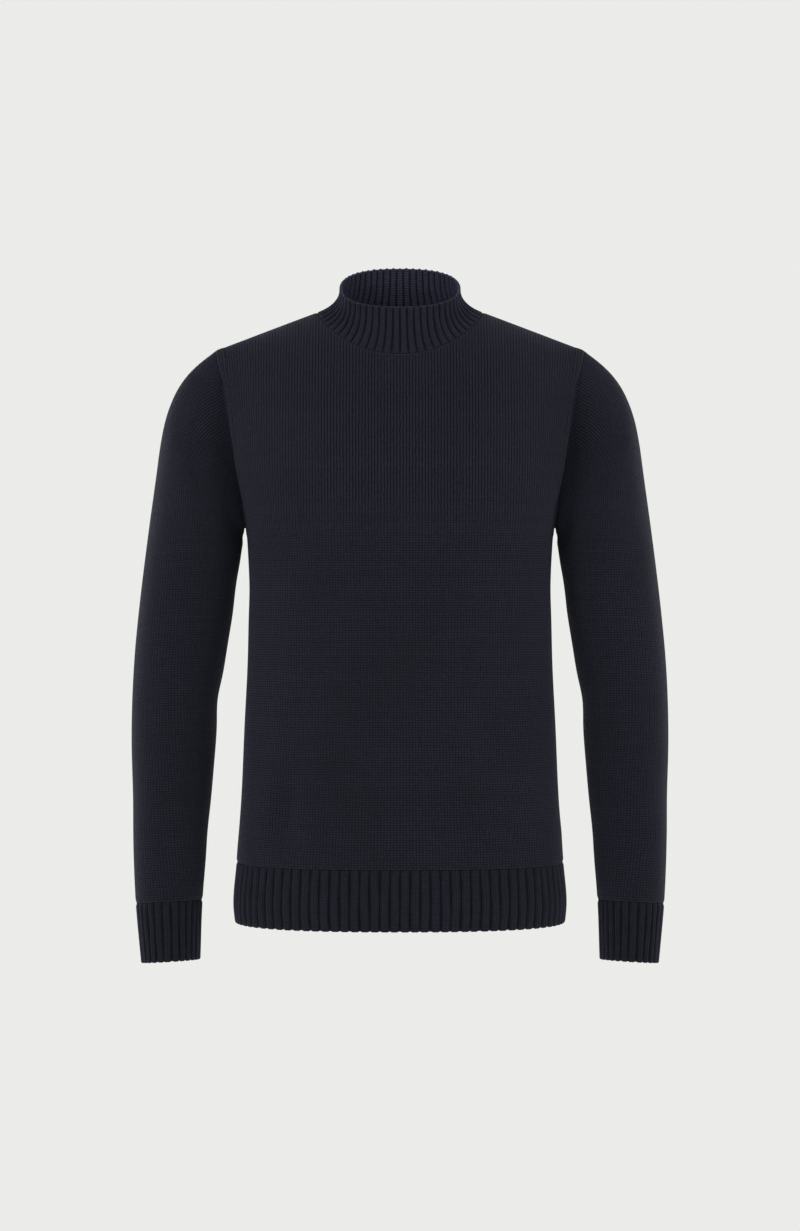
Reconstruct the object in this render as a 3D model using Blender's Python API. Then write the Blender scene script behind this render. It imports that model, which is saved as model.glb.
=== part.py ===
"""Rib-collar sweater, filled out as worn and hollow.

Metres, +Z up. The front faces -Y and the wearer's left is at +X. The origin is the middle of the
neck's base, level with the high points of the shoulders. Sizes in the tables are millimetres.
"""

import math

import bmesh
import bpy
import numpy as np

MM = 0.001
OBJECT_NAME = "rib_collar_sweater"

# Cloth
PLAIN_WALL = 2.2  # plain knit
RIB_WALL = 2.0  # rib knit in the bottom of its grooves
RIB_RAISE = 1.2  # how far a rib stands above its grooves
SEAM = 0.3  # between two pieces that are sewn together
ROUND_SEAM = 0.5  # at the armholes and the neck, a little wider because the cloth twists there
RIDGE_SHARE = (0.0, 0.24, 0.76)  # groove, near and far edge of the ridge, as shares of one rib
RIDGE_UP = (0.0, 1.0, 1.0)
EDGE_ROUND = 0.5  # how far the last row of a rib band is drawn in
SHARP = 50.0  # degrees between faces that stay crisp
NAVY, NAVY_RIB = (0.018, 0.019, 0.030), (0.016, 0.017, 0.027)

# Grid of the plain pieces
NECK_COLUMNS, SHOULDER_COLUMNS, SIDE_COLUMNS, LOW_ROWS, SLEEVE_ROWS = 6, 4, 2, 11, 20

# Body: how the levels lie over one another, from the hem up
HEM_Z, HEM_TOP_Z, UNDERARM_Z, CHEST_Z = -677.0, -610.0, -238.0, -170.0
SIDE_Y = 2.0  # the side and shoulder seams lie in this plane
PANEL_HALF = 245.0  # flat half width of the front and of the back
BODY = {
    "height": (-677, -663, -610, -540, -460, -380, -300, -238, -170),
    "half_width": (184.5, 186.0, 182.7, 177.5, 174.0, 170.2, 169.7, 172.0, 186.0),
    "front": (118, 120, 120, 116, 111, 111, 116, 121, 121),
    "back": (114, 116, 115, 106, 97, 95, 104, 113, 115),
    "square": (2.5, 2.5, 2.5, 2.5, 2.45, 2.45, 2.5, 2.55, 2.5),
}

# Shoulders and neck
NECK_HALF, NECK_SIDE_Z, NECK_SQUARE = 93.4, 3.9, 2.2  # the neckline, a squared oval from above
NECK = {
    -1: {"deep": 75.4, "crown": 0.0, "steep": 20.0, "pull": 0.36},
    1: {"deep": 60.0, "crown": 6.0, "steep": 0.0, "pull": 0.7},
}
SHOULDER_SLOPE = 0.378
SHOULDER_X = 207.0  # outer end of the shoulder seam
SHOULDER_PULL, SLANT_PULL = 0.55, 0.6  # how far the cloth's curve keeps its direction at its ends
FOOT_LEAN, TOP_LEAN = 0.35, 0.1  # how much of its sideways way it makes near each end

# Armhole, an egg seen from the side
ARMHOLE_MID_Z = -150.0
ARMHOLE_FRONT, ARMHOLE_BACK = 36.0, 40.0
ARMHOLE_TOP_SQUARE, ARMHOLE_LOW_SQUARE = 2.0, 2.3
ARMHOLE_STEPS = 10  # from the shoulder to the underarm, along the front or the back
ARMHOLE_REACH = 30.0  # how far past the panel's side its edge is looked for

# Sleeves: the outline from the front, then the rings that turn from the armhole to the wrist
SLEEVE_OUTER = {
    "height": (-39.5, -52, -62, -77, -95, -113, -140, -176, -247, -327, -381, -435, -488, -542, -650, -722),
    "x": (207, 223.5, 234.5, 246.4, 255.6, 262, 267.7, 272.7, 282.7, 292.7, 298, 300.7, 301, 299.5, 294.6, 287.5),
}
SLEEVE_INNER = {
    "height": (-238, -243, -256, -273, -327, -381, -435, -488, -542, -596, -650, -718),
    "x": (169, 173.5, 175.5, 178, 186.5, 195.5, 202.6, 207.4, 211.6, 215.8, 219.9, 222),
}
SLEEVE_RINGS = {
    "ring": (0, 2, 4, 7, 10, 13, 16, 19, 20),
    "outer_z": (-39.5, -62, -102, -185, -290, -400, -510, -622, -656),
    "inner_z": (-238, -241, -248, -270, -335, -420, -515, -619, -652),
    "half_depth": (52, 60, 64, 65, 61, 57, 52, 45, 42),
    "middle_y": (SIDE_Y, 3, 4, 5, 8, 9, 4, -11, -16),
    "pitch": (0, 0, 0, 0, 0, 1, 3, 5, 5),
}
SLEEVE_SQUARE = 2.15
SLEEVE_CLEAR = 3.5  # between the body's side and the sleeve that hangs beside it
OVER_HOLE = 0.8  # the inner share of the armhole, where the sleeve has no body beside it
BESIDE_Z = -90.0  # below this height the sleeve hangs beside the body
SLEEVE_LEAVES_ARMHOLE = 6  # rings over which the armhole's shape turns into the sleeve's
CUFF_RINGS = {
    "drop": (0, 3, 60, 65.5),  # down from the sleeve's end
    "half_depth": (42, 41, 38, 37),
    "middle_y": (-16, -16.4, -21.5, -22),
}
CUFF_PITCH = 5.0
CUFF_RIBS = 26

# Hem rib and collar
HEM_LEVELS = (HEM_TOP_Z - SEAM, HEM_TOP_Z - 4, HEM_Z + 8, HEM_Z)
HEM_RIBS = 46  # on each panel
COLLAR_RIBS = 56
COLLAR_HALF, COLLAR_DEPTH, COLLAR_Y = 68.0, 56.0, 4.0  # its upper edge
COLLAR_TOP_Z, COLLAR_TILT, COLLAR_SQUARE = 32.5, 26.5, 2.4
COLLAR_LEVELS = (0.0, 0.12, 0.3, 0.55, 0.8, 1.0)
COLLAR_FLARE = 2.8  # how sharply it turns out at its base

# Soft folds: side of the piece, middle, direction in degrees from level, size, and how far they rise
BODY_FOLDS = {
    "side": (-1, -1, -1, -1, -1, 1, 1, 1, 1),
    "x": (-112, 118, -70, 60, 0, -95, 100, 0, -50),
    "z": (-262, -268, -520, -545, -590, -270, -262, -430, -560),
    "turn": (38, -36, 62, -70, 4, 34, -38, 0, 66),
    "length": (85, 80, 95, 105, 150, 90, 85, 120, 100),
    "width": (24, 26, 30, 28, 16, 26, 24, 26, 30),
    "rise": (-2.6, -2.4, -3.0, -2.6, 1.8, -2.8, -2.6, -3.4, -2.6),
}
FOLDS_FADE = 30.0  # the height above the hem band over which the folds fade in
SLEEVE_FOLDS = {
    "around": (0.30, 0.42, 0.62, 0.36, 0.52, 0.68, 0.45, 0.12),
    "ring": (5.0, 8.0, 7.2, 12.2, 13.4, 14.4, 17.4, 16.0),
    "slant": (8, 10, -9, 6, -5, 7, 5, -6),
    "length": (0.15, 0.12, 0.13, 0.14, 0.16, 0.13, 0.12, 0.14),
    "width": (0.9, 0.8, 0.9, 0.7, 0.8, 0.7, 0.8, 1.0),
    "rise": (-1.8, -1.6, -1.6, -1.8, -2.0, -1.6, -1.2, -1.2),
}

FRONT, BACK = -1, 1


def read(table, key, column, at):
    """A column of a table, read on a smooth curve through its rows, wherever the key column is at."""
    keys, values = np.array(table[key], float), np.array(table[column], float)
    order = np.argsort(keys)
    keys, values = keys[order], values[order]
    slopes = np.gradient(values, keys)
    row = np.clip(np.searchsorted(keys, at) - 1, 0, len(keys) - 2)
    span = keys[row + 1] - keys[row]
    t = np.clip((at - keys[row]) / span, 0, 1)
    ends = values[row] * (1 + 2 * t) * (1 - t) ** 2 + values[row + 1] * t * t * (3 - 2 * t)
    return ends + span * t * (1 - t) * (slopes[row] * (1 - t) - slopes[row + 1] * t)


def unit(vectors):
    """Vectors of length one."""
    return vectors / np.linalg.norm(vectors, axis=-1, keepdims=True)


def oval(turn, half_a, half_b, square):
    """A point of a squared oval: turn 0 lies on b's axis, a quarter turn on a's."""
    a, b = np.sin(turn), np.cos(turn)
    return (half_a * np.sign(a) * abs(a) ** (2 / square), half_b * np.sign(b) * abs(b) ** (2 / square))


# Body


def level_outline(height, side):
    """A quarter of the body's level outline: x, y and the length run from the middle to the side."""
    turn = np.linspace(0, math.pi / 2, 121)
    half_width = read(BODY, "height", "half_width", height)
    depth = read(BODY, "height", "front" if side == FRONT else "back", height)
    x, y = oval(turn, half_width, depth, read(BODY, "height", "square", height))
    run = np.append(0, np.cumsum(np.hypot(np.diff(x), np.diff(y))))
    return x, SIDE_Y + side * y, run


def level_point(across, height, side):
    """x and y, at this height, of the cloth that lies this far across the panel."""
    x, y, run = level_outline(height, side)
    stretch = level_outline(min(height, UNDERARM_Z), side)[2][-1] / PANEL_HALF
    at = abs(across) * stretch
    return math.copysign(np.interp(at, run, x), across), np.interp(at, run, y)


def shoulder_line(across):
    """x and z of the line over the shoulders, which runs on over the neck's opening."""
    slant = math.hypot(1, SHOULDER_SLOPE)
    past_neck = abs(across) - NECK_HALF
    x = abs(across) if past_neck < 0 else NECK_HALF + past_neck / slant
    return math.copysign(x, across), NECK_SIDE_Z - SHOULDER_SLOPE * (x - NECK_HALF)


def shoulder_top(across, side):
    """The line over the shoulders. Within the neck it only guides the cloth, which ends lower."""
    inside = max(0.0, 1 - (across / NECK_HALF) ** 2)
    x, z = shoulder_line(across)
    if inside:
        z = NECK_SIDE_Z + SHOULDER_SLOPE * NECK_HALF / 2 * inside + NECK[side]["crown"] * inside ** 2
    return np.array((x, SIDE_Y, z)), math.radians(NECK[side]["steep"]) * inside


def over_shoulder(across, share, side):
    """The cloth above the chest line: a cubic curve that leaves the chest straight up."""
    foot = np.array((*level_point(across, CHEST_Z, side), CHEST_Z))
    top, steep = shoulder_top(across, side)
    lean, reach, height = top - foot
    near_neck = max(0.0, 1 - (across / PANEL_EDGE) ** 2)
    keep = SHOULDER_PULL + (NECK[side]["pull"] - SHOULDER_PULL) * near_neck
    pull = keep * (abs(reach) * math.cos(steep) + SLANT_PULL * height * math.sin(steep))
    near = foot + (FOOT_LEAN * lean, 0, keep * height)
    far = top + (-TOP_LEAN * lean, side * pull * math.cos(steep), -pull * math.sin(steep))
    rest = 1 - share
    return rest ** 3 * foot + 3 * rest * rest * share * near + 3 * rest * share * share * far + share ** 3 * top


def upper_share(across, side):
    """How far up its curve the cloth goes before it meets the neckline, an oval from above."""
    if abs(across) >= NECK_HALF:
        return 1.0
    oval_y = NECK[side]["deep"] * (1 - abs(across / NECK_HALF) ** NECK_SQUARE) ** (1 / NECK_SQUARE)
    low, high = 0.0, 1.0
    for _ in range(30):
        share = (low + high) / 2
        if (over_shoulder(across, share, side)[1] - SIDE_Y) * side > oval_y:
            low = share
        else:
            high = share
    return share


def body_point(across, level, side):
    """A point of the body. Level 0 is the hem's lower edge, 1 the chest line, 2 the upper edge."""
    if level > 1:
        return over_shoulder(across, (level - 1) * upper_share(across, side), side)
    height = HEM_Z + level * (CHEST_Z - HEM_Z)
    return np.array((*level_point(across, height, side), height))


def body_normal(across, level, side):
    """The direction out of the body's cloth. It is level at the hem, so that seams there are flat."""
    step, rise = 0.6, 0.005
    if level > 1:
        share = (level - 1) * upper_share(across, side)
        low, high = max(share - rise, 0.0), min(share + rise, 1.0)
        wide = over_shoulder(across + step, share, side) - over_shoulder(across - step, share, side)
        tall = over_shoulder(across, high, side) - over_shoulder(across, low, side)
    else:
        wide = body_point(across + step, level, side) - body_point(across - step, level, side)
        tall = body_point(across, level, side) - body_point(across, max(level - rise, 0.0), side)
    if level < rise:
        tall = np.array((0, 0, 1.0))
    out = np.cross(tall, wide) * side
    if level <= level_of(HEM_TOP_Z + 1):
        out[2] = 0
    return unit(out)


def level_of(height):
    """The level of a height below the chest line."""
    return (height - HEM_Z) / (CHEST_Z - HEM_Z)


def fold_rise(point, side):
    """How far the body's soft folds lift the cloth at a point."""
    rise = 0.0
    rows = zip(*(BODY_FOLDS[name] for name in ("side", "x", "z", "turn", "length", "width", "rise")))
    for on, x, z, turn, length, width, height in rows:
        if on != side:
            continue
        c, s = math.cos(math.radians(turn)), math.sin(math.radians(turn))
        along = (point[0] - x) * c + (point[2] - z) * s
        beside = (point[2] - z) * c - (point[0] - x) * s
        rise += height * math.exp(-(along / length) ** 2 - (beside / width) ** 2)
    held = min(1.0, max(0.0, (point[2] - HEM_TOP_Z) / FOLDS_FADE))
    return rise * held


def level_above_chest(across, z, side):
    """The level at which the cloth above the chest line reaches a height."""
    low, high = 1.0, 2.0
    for _ in range(30):
        level = (low + high) / 2
        if body_point(across, level, side)[2] < z:
            low = level
        else:
            high = level
    return level


def armhole_place(step, side):
    """Where the armhole's edge lies on the panel, counted from the shoulder: across and level."""
    turn = math.pi * step / ARMHOLE_STEPS
    upper = turn < math.pi / 2
    rise = shoulder_line(PANEL_EDGE)[1] - ARMHOLE_MID_Z if upper else ARMHOLE_MID_Z - UNDERARM_Z
    depth = ARMHOLE_FRONT if side == FRONT else ARMHOLE_BACK
    y, z = oval(turn, depth, rise, ARMHOLE_TOP_SQUARE if upper else ARMHOLE_LOW_SQUARE)
    y, z = SIDE_Y + side * y, ARMHOLE_MID_Z + z
    if step == 0:
        return PANEL_EDGE, 2.0
    if step == ARMHOLE_STEPS:
        return PANEL_HALF, level_of(UNDERARM_Z)
    low, high = NECK_HALF, PANEL_HALF + ARMHOLE_REACH
    for _ in range(30):
        across = (low + high) / 2
        level = level_of(z) if z <= CHEST_Z else level_above_chest(across, z, side)
        if (body_point(across, level, side)[1] - y) * side > 0:
            low = across
        else:
            high = across
    return across, level


PANEL_EDGE = NECK_HALF + (SHOULDER_X - NECK_HALF) * math.hypot(1, SHOULDER_SLOPE)
ARMHOLES = {side: [armhole_place(step, side) for step in range(ARMHOLE_STEPS + 1)] for side in (FRONT, BACK)}


# Meshes


def piece(name, points, faces, material, collection):
    """One closed solid from points in millimetres. Points that coincide become one."""
    keys = [tuple(np.round(point, 3)) for point in points]
    first = {}
    for key in keys:
        first.setdefault(key, len(first))
    mesh = bpy.data.meshes.new(name)
    corners = [list(dict.fromkeys(first[keys[i]] for i in face)) for face in faces]
    mesh.from_pydata([tuple(c * MM for c in key) for key in first], [], [c for c in corners if len(c) > 2])
    solid = bmesh.new()
    solid.from_mesh(mesh)
    bmesh.ops.recalc_face_normals(solid, faces=solid.faces)
    bmesh.ops.triangulate(solid, faces=solid.faces, quad_method="SHORT_EDGE")
    solid.to_mesh(mesh)
    solid.free()
    mesh.materials.append(material)
    mesh.shade_smooth()
    mesh.set_sharp_from_angle(angle=math.radians(SHARP))
    obj = bpy.data.objects.new(name, mesh)
    collection.objects.link(obj)
    return obj


def strip(first, second):
    """Faces between two equal runs of points."""
    return [(a, b, d, c) for a, b, c, d in zip(first, first[1:], second, second[1:])]


def wall(name, outer, inner, around, material, collection):
    """A plain wall between two grids of points, open at its rims. around closes each row on itself."""
    rows, columns = outer.shape[:2]
    grid = np.arange(rows * columns).reshape(rows, columns)
    if around:
        grid = np.hstack((grid, grid[:, :1]))
    back = grid + rows * columns
    faces = [face for layer in (grid, back) for low, high in zip(layer, layer[1:]) for face in strip(low, high)]
    rims = [(grid[0], back[0]), (grid[-1], back[-1])]
    if not around:
        rims += [(grid[:, 0], back[:, 0]), (grid[:, -1], back[:, -1])]
    faces += [face for rim in rims for face in strip(*rim)]
    points = np.concatenate((outer.reshape(-1, 3), inner.reshape(-1, 3)))
    return piece(name, points, faces, material, collection)


def ribbed_wall(name, surface, normals, around, material, collection):
    """A rib-knit band. Each rib has three points outside, a groove and a ridge, and one inside."""
    rows, columns = surface.shape[:2]
    up = np.array([RIDGE_UP[i % 3] for i in range(columns)])
    outer = surface + normals * ((up - 1) * RIB_RAISE)[None, :, None]
    inner = (surface - normals * (RIB_WALL + RIB_RAISE))[:, ::3]
    grid = np.arange(rows * columns).reshape(rows, columns)
    back = rows * columns + np.arange(inner[..., 0].size).reshape(rows, -1)
    if around:
        grid, back = np.hstack((grid, grid[:, :1])), np.hstack((back, back[:, :1]))
    faces = [face for layer in (grid, back) for low, high in zip(layer, layer[1:]) for face in strip(low, high)]
    for edge, behind in ((grid[0], back[0]), (grid[-1], back[-1])):
        for rib, (near, far) in enumerate(zip(behind, behind[1:])):
            groove, ridge_near, ridge_far, next_groove = edge[3 * rib:3 * rib + 4]
            faces += [(groove, ridge_near, near), (ridge_near, ridge_far, far, near), (ridge_far, next_groove, far)]
    if not around:
        faces += strip(grid[:, 0], back[:, 0]) + strip(grid[:, -1], back[:, -1])
    points = np.concatenate((outer.reshape(-1, 3), inner.reshape(-1, 3)))
    return piece(name, points, faces, material, collection)


def rib_shares(ribs, around):
    """Where the points of a rib band lie along it, from 0 to 1."""
    shares = [(rib + share) / ribs for rib in range(ribs) for share in RIDGE_SHARE]
    return shares if around else shares + [1.0]


def grid_normals(points, around):
    """The normals of a grid of points, to one side all over."""
    ring = np.hstack((points[:, -1:], points, points[:, :1])) if around else points
    along = np.gradient(ring, axis=1)
    along = along[:, 1:-1] if around else along
    return unit(np.cross(along, np.gradient(points, axis=0)))


# Front and back


def body_cloth(across, level, side):
    """A point on the outside of the body's cloth, folds included, and the direction out of it."""
    point, out = body_point(across, level, side), body_normal(across, level, side)
    point = point + out * fold_rise(point, side)
    return point + (0, side * SEAM / 2, 0), out


def half_columns():
    """Where the panel's columns lie, from its middle to its side seam."""
    neck = [NECK_HALF * math.sin(math.pi / 2 * i / NECK_COLUMNS) for i in range(NECK_COLUMNS)]
    shoulder = np.linspace(NECK_HALF, PANEL_EDGE, SHOULDER_COLUMNS + 1)
    return neck + list(shoulder) + list(np.linspace(PANEL_EDGE, PANEL_HALF, SIDE_COLUMNS + 1)[1:])


def build_panel(name, side, material, collection):
    """The front or the back: level rows to the underarm, then rows that end at the armhole."""
    half = half_columns()
    columns = [-across for across in half[:0:-1]] + half
    rows = [(PANEL_HALF, level_of(z)) for z in np.linspace(HEM_TOP_Z, UNDERARM_Z, LOW_ROWS + 1)[:-1]]
    rows += ARMHOLES[side][::-1]
    cloth = [[body_cloth(float(np.clip(c, -edge, edge)), level, side) for c in columns] for edge, level in rows]
    outer = np.array([[point for point, _ in row] for row in cloth])
    out = np.array([[normal for _, normal in row] for row in cloth])
    return wall(name, outer, outer - out * PLAIN_WALL, False, material, collection)


def build_hem_panel(name, side, material, collection):
    """The hem rib below the front or the back."""
    shares = rib_shares(HEM_RIBS, False)
    cloth = [[body_cloth((2 * s - 1) * PANEL_HALF, level_of(z), side) for s in shares] for z in HEM_LEVELS]
    surface = np.array([[point for point, _ in row] for row in cloth])
    out = np.array([[normal for _, normal in row] for row in cloth])
    surface[-1] -= out[-1] * EDGE_ROUND
    return ribbed_wall(name, surface, out, False, material, collection)


# Sleeves


def sleeve_ring(outer_z, inner_z, half_depth, middle_y, pitch):
    """The level ring of a sleeve: its middle, its axes across and front to back, and its half sizes."""
    ends = []
    for outline, z in ((SLEEVE_OUTER, outer_z), (SLEEVE_INNER, inner_z)):
        ends.append(np.array((read(outline, "height", "x", z), middle_y, z)))
    middle, half = (ends[0] + ends[1]) / 2, np.linalg.norm(ends[0] - ends[1]) / 2
    across = (ends[0] - ends[1]) / (2 * half)
    return middle, across, np.array((0, 1, -math.tan(math.radians(pitch)))), half, half_depth


def armhole_ring(hand):
    """The sleeve's sewn edge: its points, the cloth's direction out, and the way from body to sleeve."""
    steps = [(step, FRONT) for step in range(ARMHOLE_STEPS + 1)]
    steps += [(step, BACK) for step in range(ARMHOLE_STEPS - 1, 0, -1)]
    cloth = []
    for step, side in steps:
        across, level = ARMHOLES[side][step]
        cloth.append(body_cloth(hand * across, level, side))
    points, out = np.array([p for p, _ in cloth]), np.array([n for _, n in cloth])
    points[[0, ARMHOLE_STEPS], 1] = SIDE_Y
    tangent = unit(np.roll(points, -1, axis=0) - np.roll(points, 1, axis=0))
    return points, out, unit(np.cross(out, tangent)) * hand


def clear_of_body(points):
    """Ring points of a sleeve, moved out where they would lie in the body's side below the armhole."""
    for point in points.reshape(-1, 3):
        side = FRONT if point[1] < SIDE_Y else BACK
        depth = read(BODY, "height", "front" if side == FRONT else "back", point[2])
        square = read(BODY, "height", "square", point[2])
        share = abs(point[1] - SIDE_Y) / depth
        hole = ARMHOLE_FRONT if side == FRONT else ARMHOLE_BACK
        drop = max(0.0, ARMHOLE_MID_Z - point[2]) / (ARMHOLE_MID_Z - UNDERARM_Z)
        over_hole = (abs(point[1] - SIDE_Y) / hole) ** 2 + drop ** 2 < OVER_HOLE
        if point[2] > BESIDE_Z or share > 1 or over_hole:
            continue
        side_x = read(BODY, "height", "half_width", point[2]) * (1 - share ** square) ** (1 / square)
        point[0] = max(point[0], side_x + SLEEVE_CLEAR)


def sleeve_surface(hand):
    """The outside of a sleeve as rings of points, and the directions out of its cloth."""
    edge, edge_out, onward = armhole_ring(hand)
    edge = edge + onward * ROUND_SEAM
    turns = np.arange(len(edge)) * 2 * math.pi / len(edge)
    names = ("outer_z", "inner_z", "half_depth", "middle_y", "pitch")
    rings = [sleeve_ring(*(read(SLEEVE_RINGS, "ring", n, r) for n in names)) for r in range(SLEEVE_ROWS + 1)]
    flip = np.array((hand, 1, 1))
    middle, across, _, half, depth = rings[0]
    off = edge * flip - middle
    plane = np.cross(across, (0, 1, 0))
    edge_shape = np.stack((off @ across / half, off[:, 1] / depth, off @ plane), axis=1)
    surface = [edge * flip]
    for row, (middle, across, deep, half, depth) in enumerate(rings[1:], 1):
        plane = np.cross(across, (0, 1, 0))
        t = min(1.0, row / SLEEVE_LEAVES_ARMHOLE)
        blend = t * t * (3 - 2 * t)
        y, x = np.array([oval(turn, 1, 1, SLEEVE_SQUARE) for turn in turns]).T
        shape = (1 - blend) * edge_shape + blend * np.stack((x, -y, 0 * x), axis=1)
        surface.append(middle + np.outer(shape[:, 0] * half, across) + np.outer(shape[:, 1] * depth, deep)
                       + np.outer(shape[:, 2], plane))
    surface = np.array(surface)
    clear_of_body(surface[1:])
    out = grid_normals(surface, True)
    level = unit(np.cross(rings[-1][1], rings[-1][2]))
    out[-1] = unit(out[-1] - np.outer(out[-1] @ level, level))
    surface = surface + out * sleeve_folds(len(edge))[..., None]
    out[0] = edge_out * flip
    return surface * flip, out * flip


def sleeve_folds(columns):
    """How far the sleeve's soft folds lift each point of its grid. They fade out at both seams."""
    ring, column = np.mgrid[0:SLEEVE_ROWS + 1, 0:columns].astype(float)
    rise = np.zeros_like(ring)
    for at, row, slant, length, width, height in zip(*SLEEVE_FOLDS.values()):
        beside = (column / columns - at + 0.5) % 1 - 0.5
        rise += height * np.exp(-(beside / length) ** 2 - ((ring - row - slant * beside) / width) ** 2)
    return rise * np.clip(ring / 2, 0, 1) * np.clip((SLEEVE_ROWS - ring) / 2, 0, 1)


def build_sleeve(name, hand, material, collection):
    """A sleeve, from the armhole to the cuff."""
    surface, out = sleeve_surface(hand)
    return wall(name, surface, surface - out * PLAIN_WALL, True, material, collection)


def build_cuff(name, hand, material, collection):
    """The rib cuff below a sleeve."""
    surface, out = [], []
    turns = np.array(rib_shares(CUFF_RIBS, True)) * 2 * math.pi
    for row, drop in enumerate(CUFF_RINGS["drop"]):
        drop += SEAM if row == 0 else 0
        depth, y = CUFF_RINGS["half_depth"][row], CUFF_RINGS["middle_y"][row]
        ends = SLEEVE_RINGS["outer_z"][-1] - drop, SLEEVE_RINGS["inner_z"][-1] - drop
        middle, across, deep, half, depth = sleeve_ring(*ends, depth, y, CUFF_PITCH)
        y, x = np.array([oval(turn, 1, 1, SLEEVE_SQUARE) for turn in turns]).T
        ring = middle + np.outer(x * half, across) - np.outer(y * depth, deep)
        tangent = np.roll(ring, -1, axis=0) - np.roll(ring, 1, axis=0)
        surface.append(ring)
        out.append(-unit(np.cross(tangent, np.cross(across, deep))))
    surface, out, flip = np.array(surface), np.array(out), np.array((hand, 1, 1))
    surface[-1] -= out[-1] * EDGE_ROUND
    return ribbed_wall(name, surface * flip, out * flip, True, material, collection)


# Collar


def neckline():
    """The body's edge at the collar, from the front's middle round by +X: points and directions out."""
    columns = [across for across in half_columns() if across < NECK_HALF]
    front = [(c, FRONT) for c in columns] + [(NECK_HALF, FRONT)]
    back = [(c, BACK) for c in columns[::-1]]
    loop = front + back + [(-c, BACK) for c in columns[1:]]
    loop += [(-NECK_HALF, FRONT)] + [(-c, FRONT) for c in columns[:0:-1]]
    cloth = [body_cloth(across, 2.0, side) for across, side in loop]
    points, out = np.array([p for p, _ in cloth]), np.array([n for _, n in cloth])
    points[abs(abs(points[:, 0]) - NECK_HALF) < SEAM, 1] = SIDE_Y
    tangent = unit(np.roll(points, -1, axis=0) - np.roll(points, 1, axis=0))
    onward = unit(np.cross(out, tangent))
    return points, out, onward


def along_loop(loop, values, shares):
    """Values of a closed loop's points, read at shares of its length."""
    closed, values = np.vstack((loop, loop[:1])), np.vstack((values, values[:1]))
    run = np.append(0, np.cumsum(np.linalg.norm(np.diff(closed, axis=0), axis=1)))
    return np.stack([np.interp(np.array(shares) * run[-1], run, values[:, i]) for i in range(3)], axis=1)


def collar_top():
    """The collar's upper edge, a squared oval that tilts forward, from its front round by +X."""
    loop = []
    for turn in np.linspace(0, 2 * math.pi, 180, endpoint=False):
        x, y = oval(turn, COLLAR_HALF, COLLAR_DEPTH, COLLAR_SQUARE)
        loop.append((x, COLLAR_Y - y, COLLAR_TOP_Z - y * math.tan(math.radians(COLLAR_TILT))))
    return np.array(loop)


def build_collar(name, material, collection):
    """The stand collar: it turns up out of the neckline and then stands nearly straight."""
    shares = rib_shares(COLLAR_RIBS, True)
    points, out, onward = neckline()
    base, base_out = along_loop(points, points + onward * ROUND_SEAM, shares), along_loop(points, out, shares)
    top_loop = collar_top()
    top = along_loop(top_loop, top_loop, shares)
    surface = []
    for level in COLLAR_LEVELS:
        inward = 1 - (1 - level) ** COLLAR_FLARE
        shift = (top - base) * (inward, inward, level)
        surface.append(base + shift)
    surface = np.array(surface)
    normals = grid_normals(surface, True)
    normals *= np.sign(np.sum(normals * (surface - surface.mean(axis=1, keepdims=True)) * (1, 1, 0)))
    normals[0] = base_out
    surface[-1] -= normals[-1] * EDGE_ROUND
    return ribbed_wall(name, surface, normals, True, material, collection)


# The sweater


def knit(name, colour, roughness):
    """Plain matt knitted cloth."""
    material = bpy.data.materials.new(name)
    material.use_nodes = True
    shader = material.node_tree.nodes["Principled BSDF"]
    shader.inputs["Base Color"].default_value = (*colour, 1)
    shader.inputs["Roughness"].default_value = roughness
    shader.inputs["Metallic"].default_value = 0
    material.diffuse_color = (*colour, 1)
    return material


def main():
    for obj in list(bpy.data.objects):
        bpy.data.objects.remove(obj)
    sweater = bpy.data.collections.new(OBJECT_NAME)
    bpy.context.scene.collection.children.link(sweater)
    plain = knit("navy_plain_knit", NAVY, 0.85)
    rib = knit("navy_rib_knit", NAVY_RIB, 0.88)
    for side, name in ((FRONT, "front"), (BACK, "back")):
        build_panel(f"{name}_body", side, plain, sweater)
        build_hem_panel(f"{name}_hem_rib", side, rib, sweater)
    for hand, name in ((-1, "right"), (1, "left")):
        build_sleeve(f"sleeve_{name}", hand, plain, sweater)
        build_cuff(f"cuff_{name}", hand, rib, sweater)
    build_collar("collar_rib", rib, sweater)


if __name__ == "__main__":
    main()
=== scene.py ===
# %% [markdown]
# # A rib-collar sweater, knitted in Blender
#
# The object is a navy pullover, filled out as if somebody wore it. A knitter makes it from nine pieces: a
# front and a back, two sleeves, and rib bands for the hem, the cuffs and the collar. This lesson makes the
# same nine pieces as thin cloth, each on the solid that the CAD model has for it, and then gives them yarn,
# stitches and light. Lengths in the tables are millimetres, and the meshes are in metres.

# %% Load the frame
import math

import bpy
import numpy as np
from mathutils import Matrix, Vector


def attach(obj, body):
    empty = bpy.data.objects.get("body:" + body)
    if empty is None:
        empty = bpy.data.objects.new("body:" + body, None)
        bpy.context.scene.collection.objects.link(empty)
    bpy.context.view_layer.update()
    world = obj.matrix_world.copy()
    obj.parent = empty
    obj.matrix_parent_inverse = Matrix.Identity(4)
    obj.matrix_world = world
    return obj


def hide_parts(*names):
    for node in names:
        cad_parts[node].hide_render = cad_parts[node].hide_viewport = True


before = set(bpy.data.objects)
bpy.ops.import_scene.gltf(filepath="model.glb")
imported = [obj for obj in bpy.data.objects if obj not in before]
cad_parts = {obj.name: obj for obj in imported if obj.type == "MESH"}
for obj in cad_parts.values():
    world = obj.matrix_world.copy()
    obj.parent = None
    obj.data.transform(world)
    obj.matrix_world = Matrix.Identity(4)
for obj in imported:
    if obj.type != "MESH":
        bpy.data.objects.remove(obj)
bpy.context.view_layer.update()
MM = 0.001

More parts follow.
